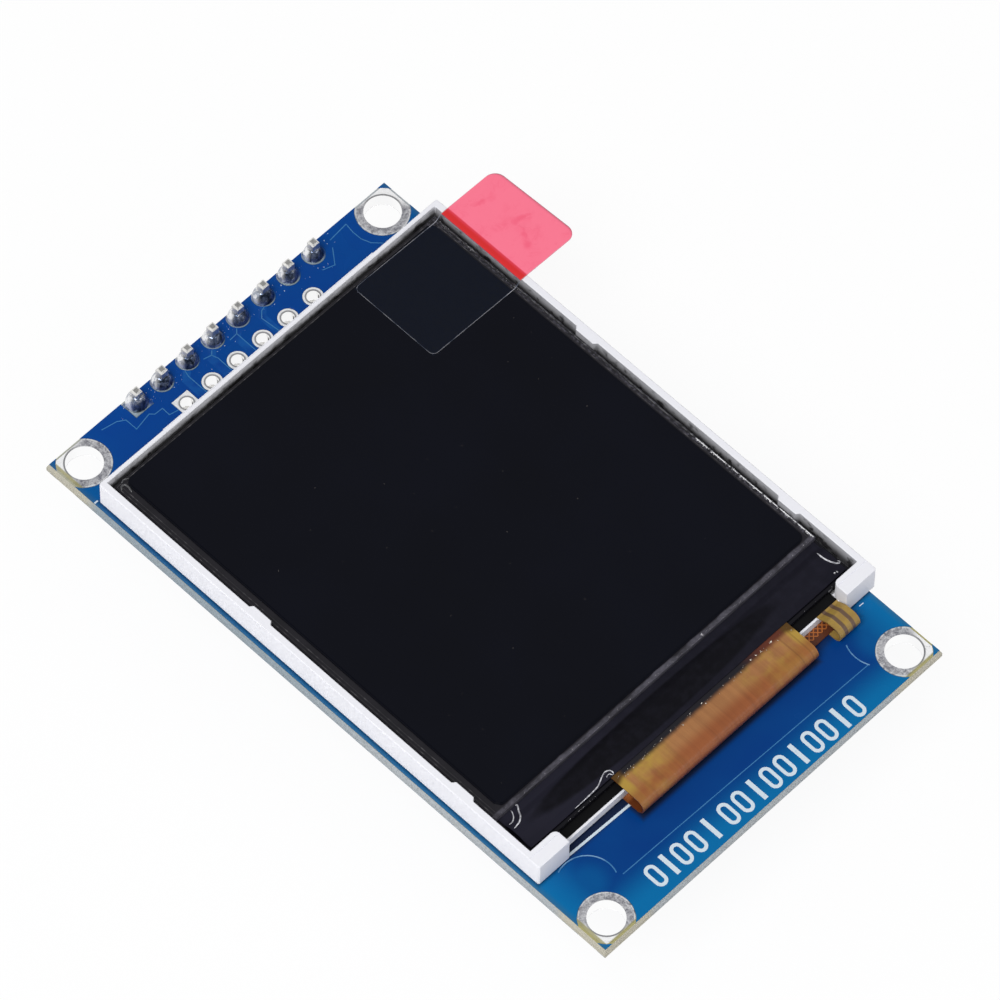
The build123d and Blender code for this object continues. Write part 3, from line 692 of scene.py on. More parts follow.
class AddTracks(bpy.types.Operator):
    """Raise the copper edges that show through the mask"""

    bl_idname = "display_module.tracks"
    bl_label = "Copper edges"

    def execute(self, context):
        looks = context.scene.module_board
        width = looks.track_width / MM
        face, back, proud = mask_high.z, rear_low.z, 0.008
        gloss, smooth = 0.2, 0.25
        made = Finish("mask_over_copper_edge", gloss, Roughness=smooth)
        blemish = made.noise(0.9, 3.0).rise(0.35, 0.65) * 0.75
        made.use(
            Base_Color=made.mix(blemish, looks.track, looks.pour),
            Normal=made.relief(made.noise(4.0), 0.003),
        )
        lines = Shape()
        arcs = [arc(*LEFT_PATCH, 2.19, 112, -22), arc(*RIGHT_PATCH, 2.6, 154, 206, 10)]
        lines.lines(arcs, width, face, proud)
        lines.piece("copper_edges", made)

        faint = Finish("mask_over_track", gloss, Roughness=smooth)
        faint.use(Base_Color=faint.mix(0.1 + 0.3 * faint.noise(0.9, 3.0), looks.pour, looks.track))
        runs = [
            [(-11.73, -24.36), (12.42, -24.9)],
            [(-12.22, 27.06), (-10.98, 26.8), (-10.41, 26.43), (-10.4, 25.35)]
            + [(-8.89, 25.62), (-8.61, 25.32)],
            [(-8.61, 25.32), (-7.89, 25.29), (-7.91, 24.55), (-7.06, 24.35)],
            [(10.59, 26.91), (12.37, 27.07), (12.25, 26.22), (12.26, 25.42)]
            + [(12.53, 24.67), (13.17, 23.98)],
            [(-1.99, 26.28), (-2.29, 25.98), (-2.94, 26.17)],
            [(-2.29, 25.98), (-2.13, 25.5), (-2.15, 23.2)],
            [(0.57, 26.34), (0.26, 26.01), (-0.46, 25.97)],
            [(0.26, 26.01), (0.26, 25.65), (0.24, 23.2)],
            [(3.26, 26.24), (2.88, 26.12), (2.44, 25.67), (2.67, 23.2)],
            [(8.42, 25.49), (9.35, 25.16), (10.28, 26.34)],
            [(-4.55, 26.4), (-4.7, 25.9), (-4.7, 23.2)],
        ]
        tracks = Shape()
        tracks.lines(runs, width * 0.75, face, 0.006)
        tracks.piece("header_tracks", faint)

        broad = Finish("mask_over_wide_track", gloss, Roughness=smooth)
        blemish = broad.noise(0.9, 3.0).rise(0.35, 0.7)
        broad.use(Base_Color=broad.mix(blemish, looks.band, looks.head))
        bands = Shape()
        for pin in (pin_x(i, PINS) for i in range(2, 6)):
            run = [(pin - 0.55, 26.4), (pin - 1.25, 25.75), (pin - PITCH / 2, 23.2)]
            bands.lines([run], 0.58, face, 0.003)
        bands.piece("wide_tracks", broad)

        rear = Shape()
        for i in range(PINS):
            start, knee = pin_x(i, PINS), 0.8 * (i % 3)
            between, drop = start + PITCH / 2, 21.2 - 0.55 * abs(i - 3.5)
            run = [
                (start + 0.45, 26.3),
                (between, 25.3),
                (between, drop + 1.2),
                (start * 0.82, drop),
                (start * 0.82, 13.5 - knee),
                (start * 0.55, 10.0 - knee),
                (start * 0.55, -10.0),
            ]
            rear.lines([run], width * 2.2, back, -proud)
        for side in (-1, 1):
            border = [(side * 15.9, 22.6), (side * 15.9, -22.6), (side * 12.2, -22.9)]
            rear.lines([border], width, back, -proud)
        rear.piece("rear_tracks", made)
        return {"FINISHED"}


class AddPrint(bpy.types.Operator):
    """Print the display outline and a row of plain marks"""

    bl_idname = "display_module.print"
    bl_label = "Print"

    def execute(self, context):
        looks = context.scene.module_board
        made = Finish("white_print_ink", 0.3)
        grit = made.noise(9.0, 3.0)
        thin = made.noise(2.5, 3.0)
        made.use(
            Base_Color=made.mix(thin.rise(0.6, 0.8) * 0.5, looks.printing, looks.track),
            Roughness=0.5 + 0.2 * grit,
            Normal=made.relief(grit, 0.006),
        )
        face = mask_high.z
        wide = looks.outline_width / MM
        outline = Shape()
        outline.lines([[(-13.9, -20.65), (-6.2, -20.91)]], wide, face, INK)
        outline.lines([[(15.45, -21.18), (15.85, -21.2)]], wide * 0.35, face, INK)
        outline.lines([[(-16.82, 23.04), (-16.5, 23.04)]], wide * 0.6, face, INK)
        outline.piece("display_outline", made)

        marks = Shape()
        tall = looks.mark_height / MM
        half = tall / 2 - 0.5
        stops = [0.0, 1.3, 2.5, 3.9, 5.4]
        stops += [7.1 + 1.38 * i for i in range(10)]
        for i, stop in enumerate(stops):
            x = -10.2 + stop
            y = -26.3 - PRINT_SLOPE * x
            if i % 3 == 1:
                marks.lines([[(x, y + tall / 2), (x, y - tall / 2)]], 0.36, face, INK)
                continue
            loop = arc(x, y + half, 0.38, 0, 180, 10) + arc(x, y - half, 0.38, 180, 360, 10)
            marks.ribbon(loop, 0.27, face - SINK, face + INK, closed=True)
        marks.piece("edge_marks", made)
        return {"FINISHED"}


class DressMetal(bpy.types.Operator):
    """Finish the tinned holes and pins, and form the solder joints"""

    bl_idname = "display_module.metal"
    bl_label = "Holes, pins and solder"

    def execute(self, context):
        looks = context.scene.module_metal
        board = context.scene.module_board
        rings = plated("tinned_rings", looks, 2.1, mounting_hole)
        x, y, _ = rings.axes()
        chord = (-16.42 - x).most(-27.37 - y).rise(0.0, 0.12)
        ring_colour = rings.shader.inputs["Base Color"].links[0].from_socket
        rings.use(Base_Color=rings.mix(chord * 0.9, ring_colour, board.resin))
        rings.dress("mounting_rings")
        plated("tinned_barrels", looks, 2.4, pin_hole).dress("spare_barrels")

        lands = Finish("land_under_flux", Metallic=0.3, Roughness=0.3)
        x, y, z = lands.axes()
        low = HEADER_ROW - y - off_pin(x) + 0.6 * lands.noise(1.7)
        seen = low.rise(0.1, 1.0).most(z.rise(0.6, 0.3))
        lands.use(Base_Color=lands.mix(seen, board.head, looks.land))
        lands.dress("header_barrels")

        leads = Finish("tinned_leads", Metallic=1.0)
        cloud = leads.noise(2.0, 3.0, 0.55)
        fine = leads.noise(10.0)
        leads.use(
            Base_Color=leads.mix(cloud.rise(0.36, 0.62), looks.dull_tin, looks.tin),
            Roughness=0.3 + 0.3 * fine.rise(0.35, 0.7) * cloud.rise(0.65, 0.4),
            Normal=leads.relief(cloud + 0.2 * fine, 0.04),
        )
        leads.dress("flex_pads", "flex_solder", "regulator_leads", "transistor_leads")
        leads.dress("capacitor_ends", "resistor_ends", "rear_solder")

        pin = Finish("plated_pin", Metallic=1.0)
        drawn = pin.noise(5.0, 3.0, 0.6, (3.0, 3.0, 0.3))
        pin.use(
            Base_Color=pin.mix(drawn.rise(0.4, 0.65) * 0.35, looks.pin, looks.dull_tin),
            Roughness=0.32 + 0.16 * pin.noise(1.6),
            Normal=pin.relief(drawn, 0.01),
        )
        pin.dress("header_pins")

        joints = Finish("solder_joint")
        x, y, _ = joints.axes()
        swirl = joints.noise(0.9, 2.0, 0.5, EVEN, 0.6)
        pits = joints.noise(4.0)
        # Painted reflection and shade: the flank away from the key lamp is dark and takes the
        # board's blue, the other flank is near white, and both carry streaks of painted reflection.
        flank = (off_pin(x) - y + HEADER_ROW + 0.7 * swirl).rise(-0.35, 0.2)
        streak = joints.noise(1.6, 3.0, 0.6, (1.0, 1.0, 0.6), 1.0)
        shaded_flank = joints.mix(streak.rise(0.36, 0.56), looks.solder_dark, looks.solder_blue)
        shaded_flank = joints.mix(streak.rise(0.56, 0.66) * 0.6, shaded_flank, looks.solder)
        lit_flank = joints.mix(streak.rise(0.5, 0.58) * 0.7, looks.solder, looks.solder_blue)
        joints.use(
            Base_Color=joints.mix(flank, lit_flank, shaded_flank),
            Metallic=0.45 + 0.35 * flank,
            Roughness=0.16 + 0.16 * swirl.rise(0.5, 0.7),
            Normal=joints.relief(swirl + 0.25 * streak + 0.06 * pits, 0.09),
        )
        chance = random.Random(11)
        blobs = Shape()
        solder_low, solder_high = box_mm("header_solder")
        foot, room = 0.03, solder_high.z - solder_low.z
        for i in range(PINS):
            centre = Vector((pin_x(i, PINS), HEADER_ROW, solder_low.z))
            tall = room * (0.9 if i == 0 else chance.uniform(0.56, 0.7))
            fat = 1.05 if i == 0 else chance.uniform(0.95, 1.02)
            profile = [(0.76 * fat, 0.0), (0.8 * fat, foot)]
            for t in (s / 12 for s in range(1, 13)):
                profile.append((fat * (0.4 + 0.4 * (1 - t**1.7) ** 0.85), foot + (tall - foot) * t))
            blobs.lathe(centre, profile, 40, looks.solder_wobble, chance)
        made = blobs.piece("solder_joints", joints, True)
        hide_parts("header_solder")

        flux = Finish("dried_flux", 0.8, Roughness=0.2)
        flux.use(Base_Color=flux.mix(flux.noise(6.0).rise(0.4, 0.62), looks.flux, board.band))
        spills = Shape()
        holes = [Vector((pin_x(i, PINS), HEADER_ROW)) for i in range(PINS)]
        holes += [Vector((pin_x(i, SPARES), SPARE_ROW)) for i in range(SPARES)]
        for _ in range(150):
            reach, turn = 1.0 + 1.1 * chance.random() ** 2, chance.uniform(0, 2 * math.pi)
            spot = holes[chance.randrange(PINS)] + reach * Vector((math.cos(turn), math.sin(turn)))
            spread = 0.03 + 0.09 * chance.random() ** 3
            if spot.y < mask_high.y - 0.15 and min((spot - hole).length for hole in holes) > 0.95:
                spills.chip(*spot, mask_high.z - 0.003, spread, 0.015, chance)
        spills.piece("flux_flecks", flux)
        return {"FINISHED"}


class DressHeader(bpy.types.Operator):
    """Finish the header strip and the moulded packages"""

    bl_idname = "display_module.header"
    bl_label = "Header strip and packages"

    def execute(self, context):
        strip = moulded("black_header_plastic", (0.016, 0.016, 0.018), (0.05, 0.05, 0.052), 0.42)
        strip.dress("header_strip")
        epoxy = moulded("black_package_epoxy", (0.02, 0.02, 0.021), (0.06, 0.06, 0.06), 0.6)
        epoxy.dress("regulator_body", "transistor_body")
        tan = moulded("tan_ceramic", (0.4, 0.27, 0.15), (0.3, 0.19, 0.1), 0.5)
        tan.dress("capacitor_bodies")
        dark = moulded("resistor_glaze", (0.025, 0.025, 0.028), (0.09, 0.09, 0.09), 0.3)
        dark.dress("resistor_bodies")
        return {"FINISHED"}


class DressFrame(bpy.types.Operator):
    """Finish the white frame and the sheets behind the display"""

    bl_idname = "display_module.backlight"
    bl_label = "Frame and backlight"

    def execute(self, context):
        looks = context.scene.module_frame
        white = Finish("white_moulding", 0.22)
        x, y, z = white.axes()
        skin = white.noise(14.0)
        cloud = white.noise(0.35, 3.0)
        blotch_noise = white.noise(1.3, 3.0, 0.6)
        # Painted shade: the inner walls of the pocket darken towards the glass, more deeply on the
        # header wall, and noise makes the darkening ragged and blotchy.
        pocket = (rim_low.x + 0.54, -19.47), (rim_high.x - 0.54, rim_high.y - 0.42)
        inside = margin(x, y, *pocket).rise(-0.04, -0.01)
        head = (y - rim_high.y + 0.6).rise(0.0, 0.05)
        side = 0.42 * z.rise(3.77, 3.72) + 0.5 * z.rise(3.7, 2.45)
        ragged_noise = white.noise(2.6, 4.0, 0.7, (0.5, 1.0, 1.0))
        fade = (z + 0.9 * (ragged_noise - 0.5)).rise(3.5, 2.72)
        blotches = 0.35 * blotch_noise.rise(0.5, 0.72) * z.rise(3.76, 3.4)
        down = side * (1.0 - head) + 0.93 * head * fade + blotches
        clean = white.mix(cloud.rise(0.5, 0.8) * 0.06, looks.plastic, looks.shade)
        white.use(
            Base_Color=white.mix(inside * down.least(1.0), clean, looks.depth),
            Roughness=0.52 + 0.12 * skin,
            Normal=white.relief(skin, 0.003),
        )
        white.dress("backlight_frame")
        sheet = moulded("white_film", looks.film, looks.shade, 0.35)
        sheet.dress("reflector_film", "diffuser_film", "lower_prism_film", "upper_prism_film")
        moulded("clear_light_guide", looks.guide, looks.film, 0.08).dress("light_guide")
        moulded("foam_tape", looks.foam, looks.shade, 0.8).dress("mounting_tape")
        lamp = moulded("lamp_phosphor", (0.8, 0.62, 0.12), (0.82, 0.8, 0.7), 0.3)
        lamp.dress("backlight_leds")
        return {"FINISHED"}


class DressDisplay(bpy.types.Operator):
    """Finish the glass, polarisers and film, with flecks, ground edges and painted glints"""

    bl_idname = "display_module.display"
    bl_label = "Display cell"

    def execute(self, context):
        looks = context.scene.module_display
        screen = Finish("dark_polariser", 0.2)
        x, y, _ = screen.axes()
        cloud = screen.noise(0.12)
        below = margin(x, on_tab(x, y), (TAB_START, TAB_NEAR), (TAB_END, TAB_FAR)).rise(0.0, 0.05)
        dark = screen.mix(cloud.rise(0.3, 0.8) * 0.25, looks.screen, looks.screen_blue)
        screen.use(
            Base_Color=screen.mix(below, dark, looks.screen_tab),
            Roughness=0.07 + 0.05 * screen.noise(5.0),
            Normal=screen.relief(cloud, 0.002),
        )
        screen.dress("front_polariser", "rear_polariser", "protective_film")

        glass = Finish("display_glass", 0.3)
        x, y, z = glass.axes()
        band = glass.noise(0.6, 3.0)
        ground = glass.noise(5.0, 4.0, 0.7, (1, 1, 3))
        level = z.rise(filter_high.z - 0.02, filter_high.z - 0.005)
        upper = z.rise(array_high.z - 0.01, array_high.z + 0.02)
        face = abs(y - filter_low.y).rise(0.03, 0.01) * upper
        brim = (polariser_low.y - y + 0.5 * (band - 0.5)).rise(0.0, 0.16) * level * 0.75
        corner = ((x - filter_high.x) ** 2.0 + (y - filter_high.y) ** 2.0).rise(3.0, 0.6)
        flaws = (x - polariser_high.x).rise(0.1, 0.3).most(corner) * level
        flaws = flaws * 0.8 * ground.rise(0.46, 0.64)
        front = (face * 1.3).most(brim)
        ledge = (filter_low.y - 0.04 - y).rise(0.0, 0.02)
        scratched = 0.2 + 0.4 * ground.rise(0.42, 0.6) + 0.6 * band.rise(0.35, 0.65)
        bare = glass.mix(band.rise(0.4, 0.7) * 0.4, looks.border, (0.009, 0.009, 0.011))
        bare = glass.mix(front * scratched, bare, looks.glass_line)
        bare = glass.mix(flaws, bare, looks.glass_line)
        glass.use(
            Base_Color=glass.mix(ledge, bare, looks.cover),
            Roughness=0.14 + 0.4 * front,
            Normal=glass.relief(ground * front, 0.03),
        )
        glass.dress("array_glass", "colour_filter_glass")
        tape = moulded("black_rim_tape", (0.004, 0.004, 0.0045), (0.01, 0.01, 0.011), 0.6, 0.1)
        tape.dress("rim_tape")
        chip = moulded("driver_silicon", (0.1, 0.1, 0.11), (0.16, 0.15, 0.17), 0.2)
        chip.dress("driver_chip")

        # Painted glints: two thin lighter lines round the top of the colour filter glass, near its
        # edges.
        edge = Finish("glass_edge_glint_lines")
        spark = edge.noise(2.2, 3.0)
        edge.use(
            Base_Color=edge.mix(spark.rise(0.48, 0.72), (0.02, 0.019, 0.022), (0.11, 0.105, 0.11)),
            Roughness=0.3 + 0.2 * spark,
        )
        level = filter_high.z
        lines = Shape()
        for inset in (0.16, 0.4):
            low = filter_low + Vector((inset, inset, 0))
            high = filter_high - Vector((inset, inset, 0))
            loop = [(low.x, low.y), (low.x, high.y), (high.x, high.y), (high.x, low.y)]
            lines.ribbon(loop, 0.045, level - 0.003, level + 0.004)
        lines.piece("glass_edge_lines", edge)

        # Chips of broken glass along the edges, coloured near white as painted glints.
        bright = Finish("broken_glass_glints", 0.9)
        grain = bright.noise(6.0)
        bright.use(
            Base_Color=bright.mix(grain.rise(0.4, 0.6), (0.45, 0.44, 0.46), looks.glint),
            Roughness=0.1 + 0.25 * grain,
        )
        chance = random.Random(5)
        some = chance.uniform
        side = filter_high.x - GLINT_INSET
        seat, low_seat = level - 0.01, array_high.z - 0.01
        chips = Shape()
        for _ in range(230):
            along = filter_low.y + 0.1 + chance.random() * 11.4
            across = side + some(-0.08, 0.08)
            spread = 0.02 + 0.13 * chance.random() ** 3
            chips.chip(across, along, seat, spread, some(0.02, 0.05), chance)
        for _ in range(60):
            along = filter_high.y - 0.4 - chance.random() * 11.0
            across = side + some(-0.1, 0.1)
            chips.chip(across, along, seat, some(0.02, 0.06), some(0.02, 0.05), chance)
        for _ in range(120):
            across = some(filter_low.x + 0.2, filter_high.x - 0.2)
            along = filter_low.y + 0.03 + chance.random() * 0.14
            chips.chip(across, along, seat, some(0.02, 0.06), some(0.015, 0.04), chance)
        for _ in range(40):
            across = some(-12.3, -9.3) if chance.random() < 0.7 else some(11.0, 15.5)
            along = array_low.y + 0.03 + chance.random() * 0.05
            chips.chip(across, along, low_seat, some(0.015, 0.05), some(0.012, 0.03), chance)
        chips.chip(5.1, filter_low.y + 0.1, seat, 0.24, 0.08, chance)
        chips.piece("edge_chips", bright)

        # Painted glints: a thin ribbon along the glass's right edge, bright in patches and
        # brightest towards its lower end.
        glint = Finish("glass_rim_glint", 0.6)
        gleam = glint.noise(1.7, 4.0, 0.7, (0.4, 1.0, 1.0))
        lit = glint.axes()[1].rise(-3.2, -4.8)
        glint_patches = (gleam + 0.07 * lit).rise(0.46, 0.58) * (0.12 + 0.88 * lit)
        glint.use(
            Base_Color=glint.mix(glint_patches, (0.03, 0.03, 0.034), looks.glint),
            Roughness=0.15 + 0.3 * gleam,
        )
        rim = Shape()
        run = [(side, filter_low.y + 0.1), (side, filter_high.y - 0.1)]
        rim.ribbon(run, 0.1, seat, level + 0.004)
        rim.piece("glass_rim", glint)

        dust = Finish("dust_fleck", 0.2)
        lint = dust.noise(8.0)
        dust.use(
            Base_Color=dust.mix(lint, (0.12, 0.1, 0.09), (0.4, 0.36, 0.33)),
            Roughness=0.8 + 0.1 * lint,
        )
        flecks = Shape()
        places = [(1.16, -4.77), (1.29, -7.89), (-5.12, -7.1)]
        for _ in range(looks.fleck_count):
            places.append((some(film_low.x + 1, film_high.x - 1), some(film_low.y + 1, 12.5)))
        for place in places:
            flecks.chip(*place, film_high.z - 0.002, some(0.02, 0.055), 0.012, chance)
        flecks.piece("screen_dust", dust)
        return {"FINISHED"}


class DressLedge(bpy.types.Operator):
    """Finish the cover tape and lay the sealant beads on it"""

    bl_idname = "display_module.ledge"
    bl_label = "Ledge cover and sealant"

    def execute(self, context):
        looks = context.scene.module_display
        tape = Finish("black_cover_tape", 0.08)
        x, y, _ = tape.axes()
        scuff = tape.noise(1.4, 4.0, 0.6)
        # Painted sheen: the tape is lighter round a darker lens-shaped middle, more so to the left,
        # and noise adds scuffs.
        lens = ((x + 1.5) / 12.5) ** 2.0 + ((y + 17.5) / 1.2) ** 2.0
        sheen = lens.rise(0.75, 1.1) * (0.55 + 0.45 * x.rise(2.0, -12.0))
        sheen = sheen + 0.2 * scuff.rise(0.4, 0.7)
        tape.use(
            Base_Color=tape.mix(sheen, looks.cover, looks.cover_sheen),
            Roughness=0.35 + 0.2 * scuff,
            Normal=tape.relief(scuff, 0.004),
        )
        tape.dress("ledge_cover")

        clear = Finish("clear_sealant", 0.8)
        bubble = clear.noise(5.0)
        header_end = clear.axes()[1].rise(10.0, 15.0) * 0.9
        squeezed = clear.mix(bubble.rise(0.35, 0.65), (0.3, 0.3, 0.33), looks.sealant)
        clear.use(
            Base_Color=clear.mix(header_end, squeezed, (0.03, 0.03, 0.032)),
            Roughness=0.08 + 0.2 * bubble,
        )
        hook = [(-11.06, -19.03), (-10.27, -19.02), (-9.47, -18.99), (-8.74, -18.93)]
        hook += [(-8.34, -18.77), (-7.93, -18.58), (-7.57, -18.47), (-7.26, -18.57)]
        hook += [(-7.15, -18.8), (-7.2, -18.98), (-7.32, -19.02)]
        curl = [(-7.32, -19.02), (-7.41, -18.81), (-7.61, -18.78), (-7.77, -18.87)]
        left = [(-13.78, -15.88), (-13.69, -15.98), (-13.9, -16.31), (-14.21, -16.79)]
        left += [(-14.63, -17.1), (-15.25, -17.22)]
        inner = [(-14.3, -15.93), (-14.36, -16.17), (-14.59, -16.5), (-14.95, -16.71)]
        inner += [(-15.23, -16.71)]
        right = [(15.67, -16.74), (15.62, -17.12), (15.72, -17.79), (15.98, -18.21)]
        right += [(16.21, -18.38), (16.38, -18.33)]
        corner = [(-15.5, 21.55), (-15.28, 21.8), (-15.02, 21.72), (-14.98, 21.35), (-15.1, 20.95)]
        runs = [
            (hook, 0.05),
            (curl, 0.035),
            (left, 0.065),
            (inner, 0.045),
            (right, 0.06),
            ([(16.38, -18.33), (16.42, -18.22), (16.32, -18.07)], 0.04),
            ([(15.35, -18.69), (15.45, -18.75)], 0.05),
            ([(15.58, -18.7), (15.62, -18.85)], 0.045),
            (corner, 0.09),
            ([(-15.1, 22.0), (-14.75, 22.1), (-14.45, 21.9)], 0.06),
        ]
        height = top_of("ledge_cover", "array_glass", "colour_filter_glass", "display_flex")
        beads = Shape()
        for points, radius in runs:
            line = curve_through([Vector(p) for p in points])
            beads.bead([Vector((*p, height(*p) + radius * 0.55)) for p in line], radius)
        beads.piece("sealant_beads", clear, True)
        return {"FINISHED"}


class DressFlexes(bpy.types.Operator):
    """Finish the amber flexes and scatter flecks of adhesive along the bond"""

    bl_idname = "display_module.flexes"
    bl_label = "Flexes"

    def execute(self, context):
        looks = context.scene.module_flex
        flex = Finish("amber_polyimide", 0.4)
        x, y, z = flex.axes()
        radius = (flex_high.z - flex_low.z) / 2
        middle = (flex_high.z + flex_low.z) / 2
        reach = apart((flex_low.y + radius - y).most(0.0), z - middle)
        inner = (radius - 0.04 - reach).rise(-0.02, 0.02)
        smear = flex.noise(0.45, 3.0, 0.6)
        ridge = flex.noise(4.5, 2.0, 0.6, (1.0, 0.04, 0.04))
        ribs = flex.noise(1.3, 3.0, 0.6, (1.0, 0.08, 0.08))
        edge = (FLEX_RIGHT - x).least(x - flex_low.x)
        # Painted highlight: the roll's upper side is lighter and yellower.
        upper = y.rise(flex_low.y + 0.85, flex_low.y + 1.9)
        body = flex.mix(upper, looks.amber, looks.upper)
        body = flex.mix((ridge.rise(0.35, 0.7) + ribs.rise(0.4, 0.65)) * 0.16, body, looks.deep)
        patch = smear.rise(0.36, 0.74) * abs(x - 0.8).rise(2.5, 6.0) * (0.3 + 0.7 * upper)
        body = flex.mix(patch.most(edge.rise(0.9, 0.5) * (0.2 + 0.6 * upper)), body, looks.margin)
        lines = abs(x - FLEX_RIGHT + 1.35).least(abs(x - FLEX_RIGHT + 0.5)).rise(0.09, 0.04)
        body = flex.mix(lines * 0.3, body, looks.deep)
        # Painted shade: the roll darkens towards its underside.
        body = flex.mix(z.rise(2.45, 1.8) * 0.75, body, looks.deep)
        ragged = 0.15 * smear + 0.1 * ridge + 0.25 * edge.rise(0.7, 0.0)
        under = (y - cover_low.y + 0.6 + ragged).rise(-0.08, 0.42)
        bond = flex.mix(x.rise(5.0, 8.0), (0.011, 0.01, 0.014), (0.11, 0.027, 0.013))
        body = flex.mix(under, body, flex.mix(edge.rise(1.0, 0.5), bond, (0.09, 0.043, 0.007)))
        # Inside the roll: painted shade, with patches of painted highlight.
        body = flex.mix(inner, body, flex.mix(smear.rise(0.5, 0.7), looks.inside, looks.hatch))
        one, other = (abs((way * 2.3).fraction() - 0.5).rise(0.16, 0.1) for way in (x + y, x - y))
        hatch = one.most(other) * (y - flex_low.y - 1.35).rise(0.0, 0.05)
        wing = flex.mix(hatch, looks.deep, looks.hatch)
        flex.use(
            Base_Color=flex.mix((x - FLEX_RIGHT).rise(0.0, 0.02), body, wing),
            Roughness=0.24 + 0.16 * smear,
            Normal=flex.relief(ridge + ribs, 0.012),
        )
        flex.dress("display_flex")

        tail = Finish("ochre_backlight_tail")
        across = (tail.axes()[0] - (tail_high.x - TAIL_WIDTH)) / TAIL_WIDTH
        bands = abs(abs(across - 0.5) - 0.19).rise(0.09, 0.06)
        smear = tail.noise(1.2, 3.0)
        plain = tail.mix(smear.rise(0.4, 0.7) * 0.5, looks.ochre, looks.margin)
        tail.use(
            Base_Color=tail.mix(bands * 0.9, plain, looks.trace),
            Roughness=0.25 + 0.15 * smear,
            Normal=tail.relief(bands, 0.012),
        )
        tail.dress("backlight_flex")

        resin = Finish("bond_adhesive", 0.7)
        grain = resin.noise(7.0)
        resin.use(
            Base_Color=resin.mix(grain, (0.35, 0.27, 0.19), (0.68, 0.64, 0.58)),
            Roughness=0.15 + 0.2 * grain,
        )
        chance = random.Random(23)
        height = top_of("display_flex", "ledge_cover")
        flecks = Shape()
        for _ in range(70):
            x = chance.uniform(flex_low.x + 0.3, FLEX_RIGHT - 0.2)
            y = cover_low.y - 0.3 - chance.random() ** 2 * 0.4
            spread = 0.02 + 0.1 * chance.random() ** 2
            flecks.chip(x, y, height(x, y) - SINK, spread, 0.035, chance)
        flecks.piece("bond_flecks", resin)
        return {"FINISHED"}


class DressTab(bpy.types.Operator):
    """Finish the pull tab: clear on the screen, red over the rim, pink beyond"""

    bl_idname = "display_module.pull_tab"
    bl_label = "Pull tab"

    def execute(self, context):
        looks = context.scene.module_tab
        slant, corners = 0.036, (0.5, 0.9)
        tab = Finish("pull_tab_film", 0.3)
        x, y, _ = tab.axes()
        v = on_tab(x, y)
        end = TAB_END - slant * (v - TAB_NEAR)
        middle, half = (TAB_NEAR + TAB_FAR) / 2, (TAB_FAR - TAB_NEAR) / 2
        inward = 9.0
        for corner, past in zip(corners, (TAB_START - x, x - end)):
            dx, dy = (past + corner).most(0.0), (abs(v - middle) - half + corner).most(0.0)
            inward = (corner - apart(dx, dy)).least(inward)
        patchy = tab.noise(0.9, 3.0)
        rim_line = inward.rise(0.07, 0.02) * (0.35 + 0.65 * patchy.rise(0.35, 0.6))
        past_rim = x - rim_high.x
        free = past_rim.rise(-0.06, 0.06)
        glued = (past_rim + 0.68).rise(-0.05, 0.05)
        # Painted shade in creases: darker, redder streaks across the free length, thickest near the
        # fold, and three strokes.
        fold = tab.noise(0.8, 3.0, 0.6, (0.6, 1.0, 1.0))
        near_fold = ((x - 20.0) ** 2.0 + (y - 17.0) ** 2.0).rise(7.0, 0.5)
        vein = abs(tab.noise(0.7, 2.0, 0.5, EVEN, 1.2) - 0.5).rise(0.045, 0.0)
        vein = vein * fold.rise(0.42, 0.62)
        star = fold.rise(0.45, 0.8) * (0.2 + 0.4 * near_fold) + 0.25 * vein
        strokes = (
            ((20.06, 16.69), (19.1, 15.3), 0.45),
            ((21.5, 17.0), (19.9, 17.5), 0.4),
            ((18.7, 20.6), (20.25, 20.1), 0.4),
        )
        creased = 0.0
        for stroke in strokes:
            creased = tab.stroke(*stroke).most(creased)
        creased = creased * (0.3 + 0.7 * patchy.rise(0.35, 0.6)) * 0.55
        specks = tab.cells(1.3).rise(0.1, 0.05) * tab.noise(0.5).rise(0.5, 0.58)
        blemish = (star.least(1.0) * 0.55).most(creased) + 0.15 * specks
        pink = tab.mix(blemish, looks.pink, looks.crease)
        # Painted shade: the red darkens towards the rim's outer edge, where the tab bends over it.
        red = tab.mix(past_rim.rise(-0.3, 0.0) * 0.35, looks.red, looks.crease)
        body = tab.mix(free, tab.mix(glued, looks.haze, red), pink)
        tab.use(
            Base_Color=tab.mix(rim_line * (0.9 - 0.4 * free), body, looks.line),
            Alpha=glued.most(rim_line * (0.3 + 0.45 * x.rise(14.5, 16.0))),
            Roughness=0.14 + 0.16 * tab.noise(0.25),
            Normal=tab.relief(star * glued, 0.012),
        )
        low, top, thickness = film_high.z + 0.06, tab_high.z, 0.025
        foot, head = rim_high.x - 1.29, rim_high.x - 0.62
        across, along = 48, 72
        rows = []
        for j in range(across + 1):
            v = TAB_NEAR + (TAB_FAR - TAB_NEAR) * (1 - math.cos(math.pi * j / across)) / 2
            gap = min(v - TAB_NEAR, TAB_FAR - v)
            inset = [r - math.sqrt(max(r * r - max(r - gap, 0.0) ** 2, 0.0)) for r in corners]
            first, last = TAB_START + inset[0], TAB_END - slant * (v - TAB_NEAR) - inset[1]
            upper, lower = [], []
            for i in range(along + 1):
                x = first + (last - first) * i / along
                climb = min(max((x - foot) / (head - foot), 0.0), 1.0)
                z = low + (top - low) * climb * climb * (3 - 2 * climb)
                spot = (x, v - TAB_LEAN * (x - TAB_PIVOT))
                upper.append((*spot, z))
                lower.append((*spot, z - thickness))
            rows.append(upper + lower[::-1])
        sheet = Shape()
        sheet.loft(rows)
        made = sheet.piece("tab_film", tab, True)
        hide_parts("pull_tab")
        return {"FINISHED"}


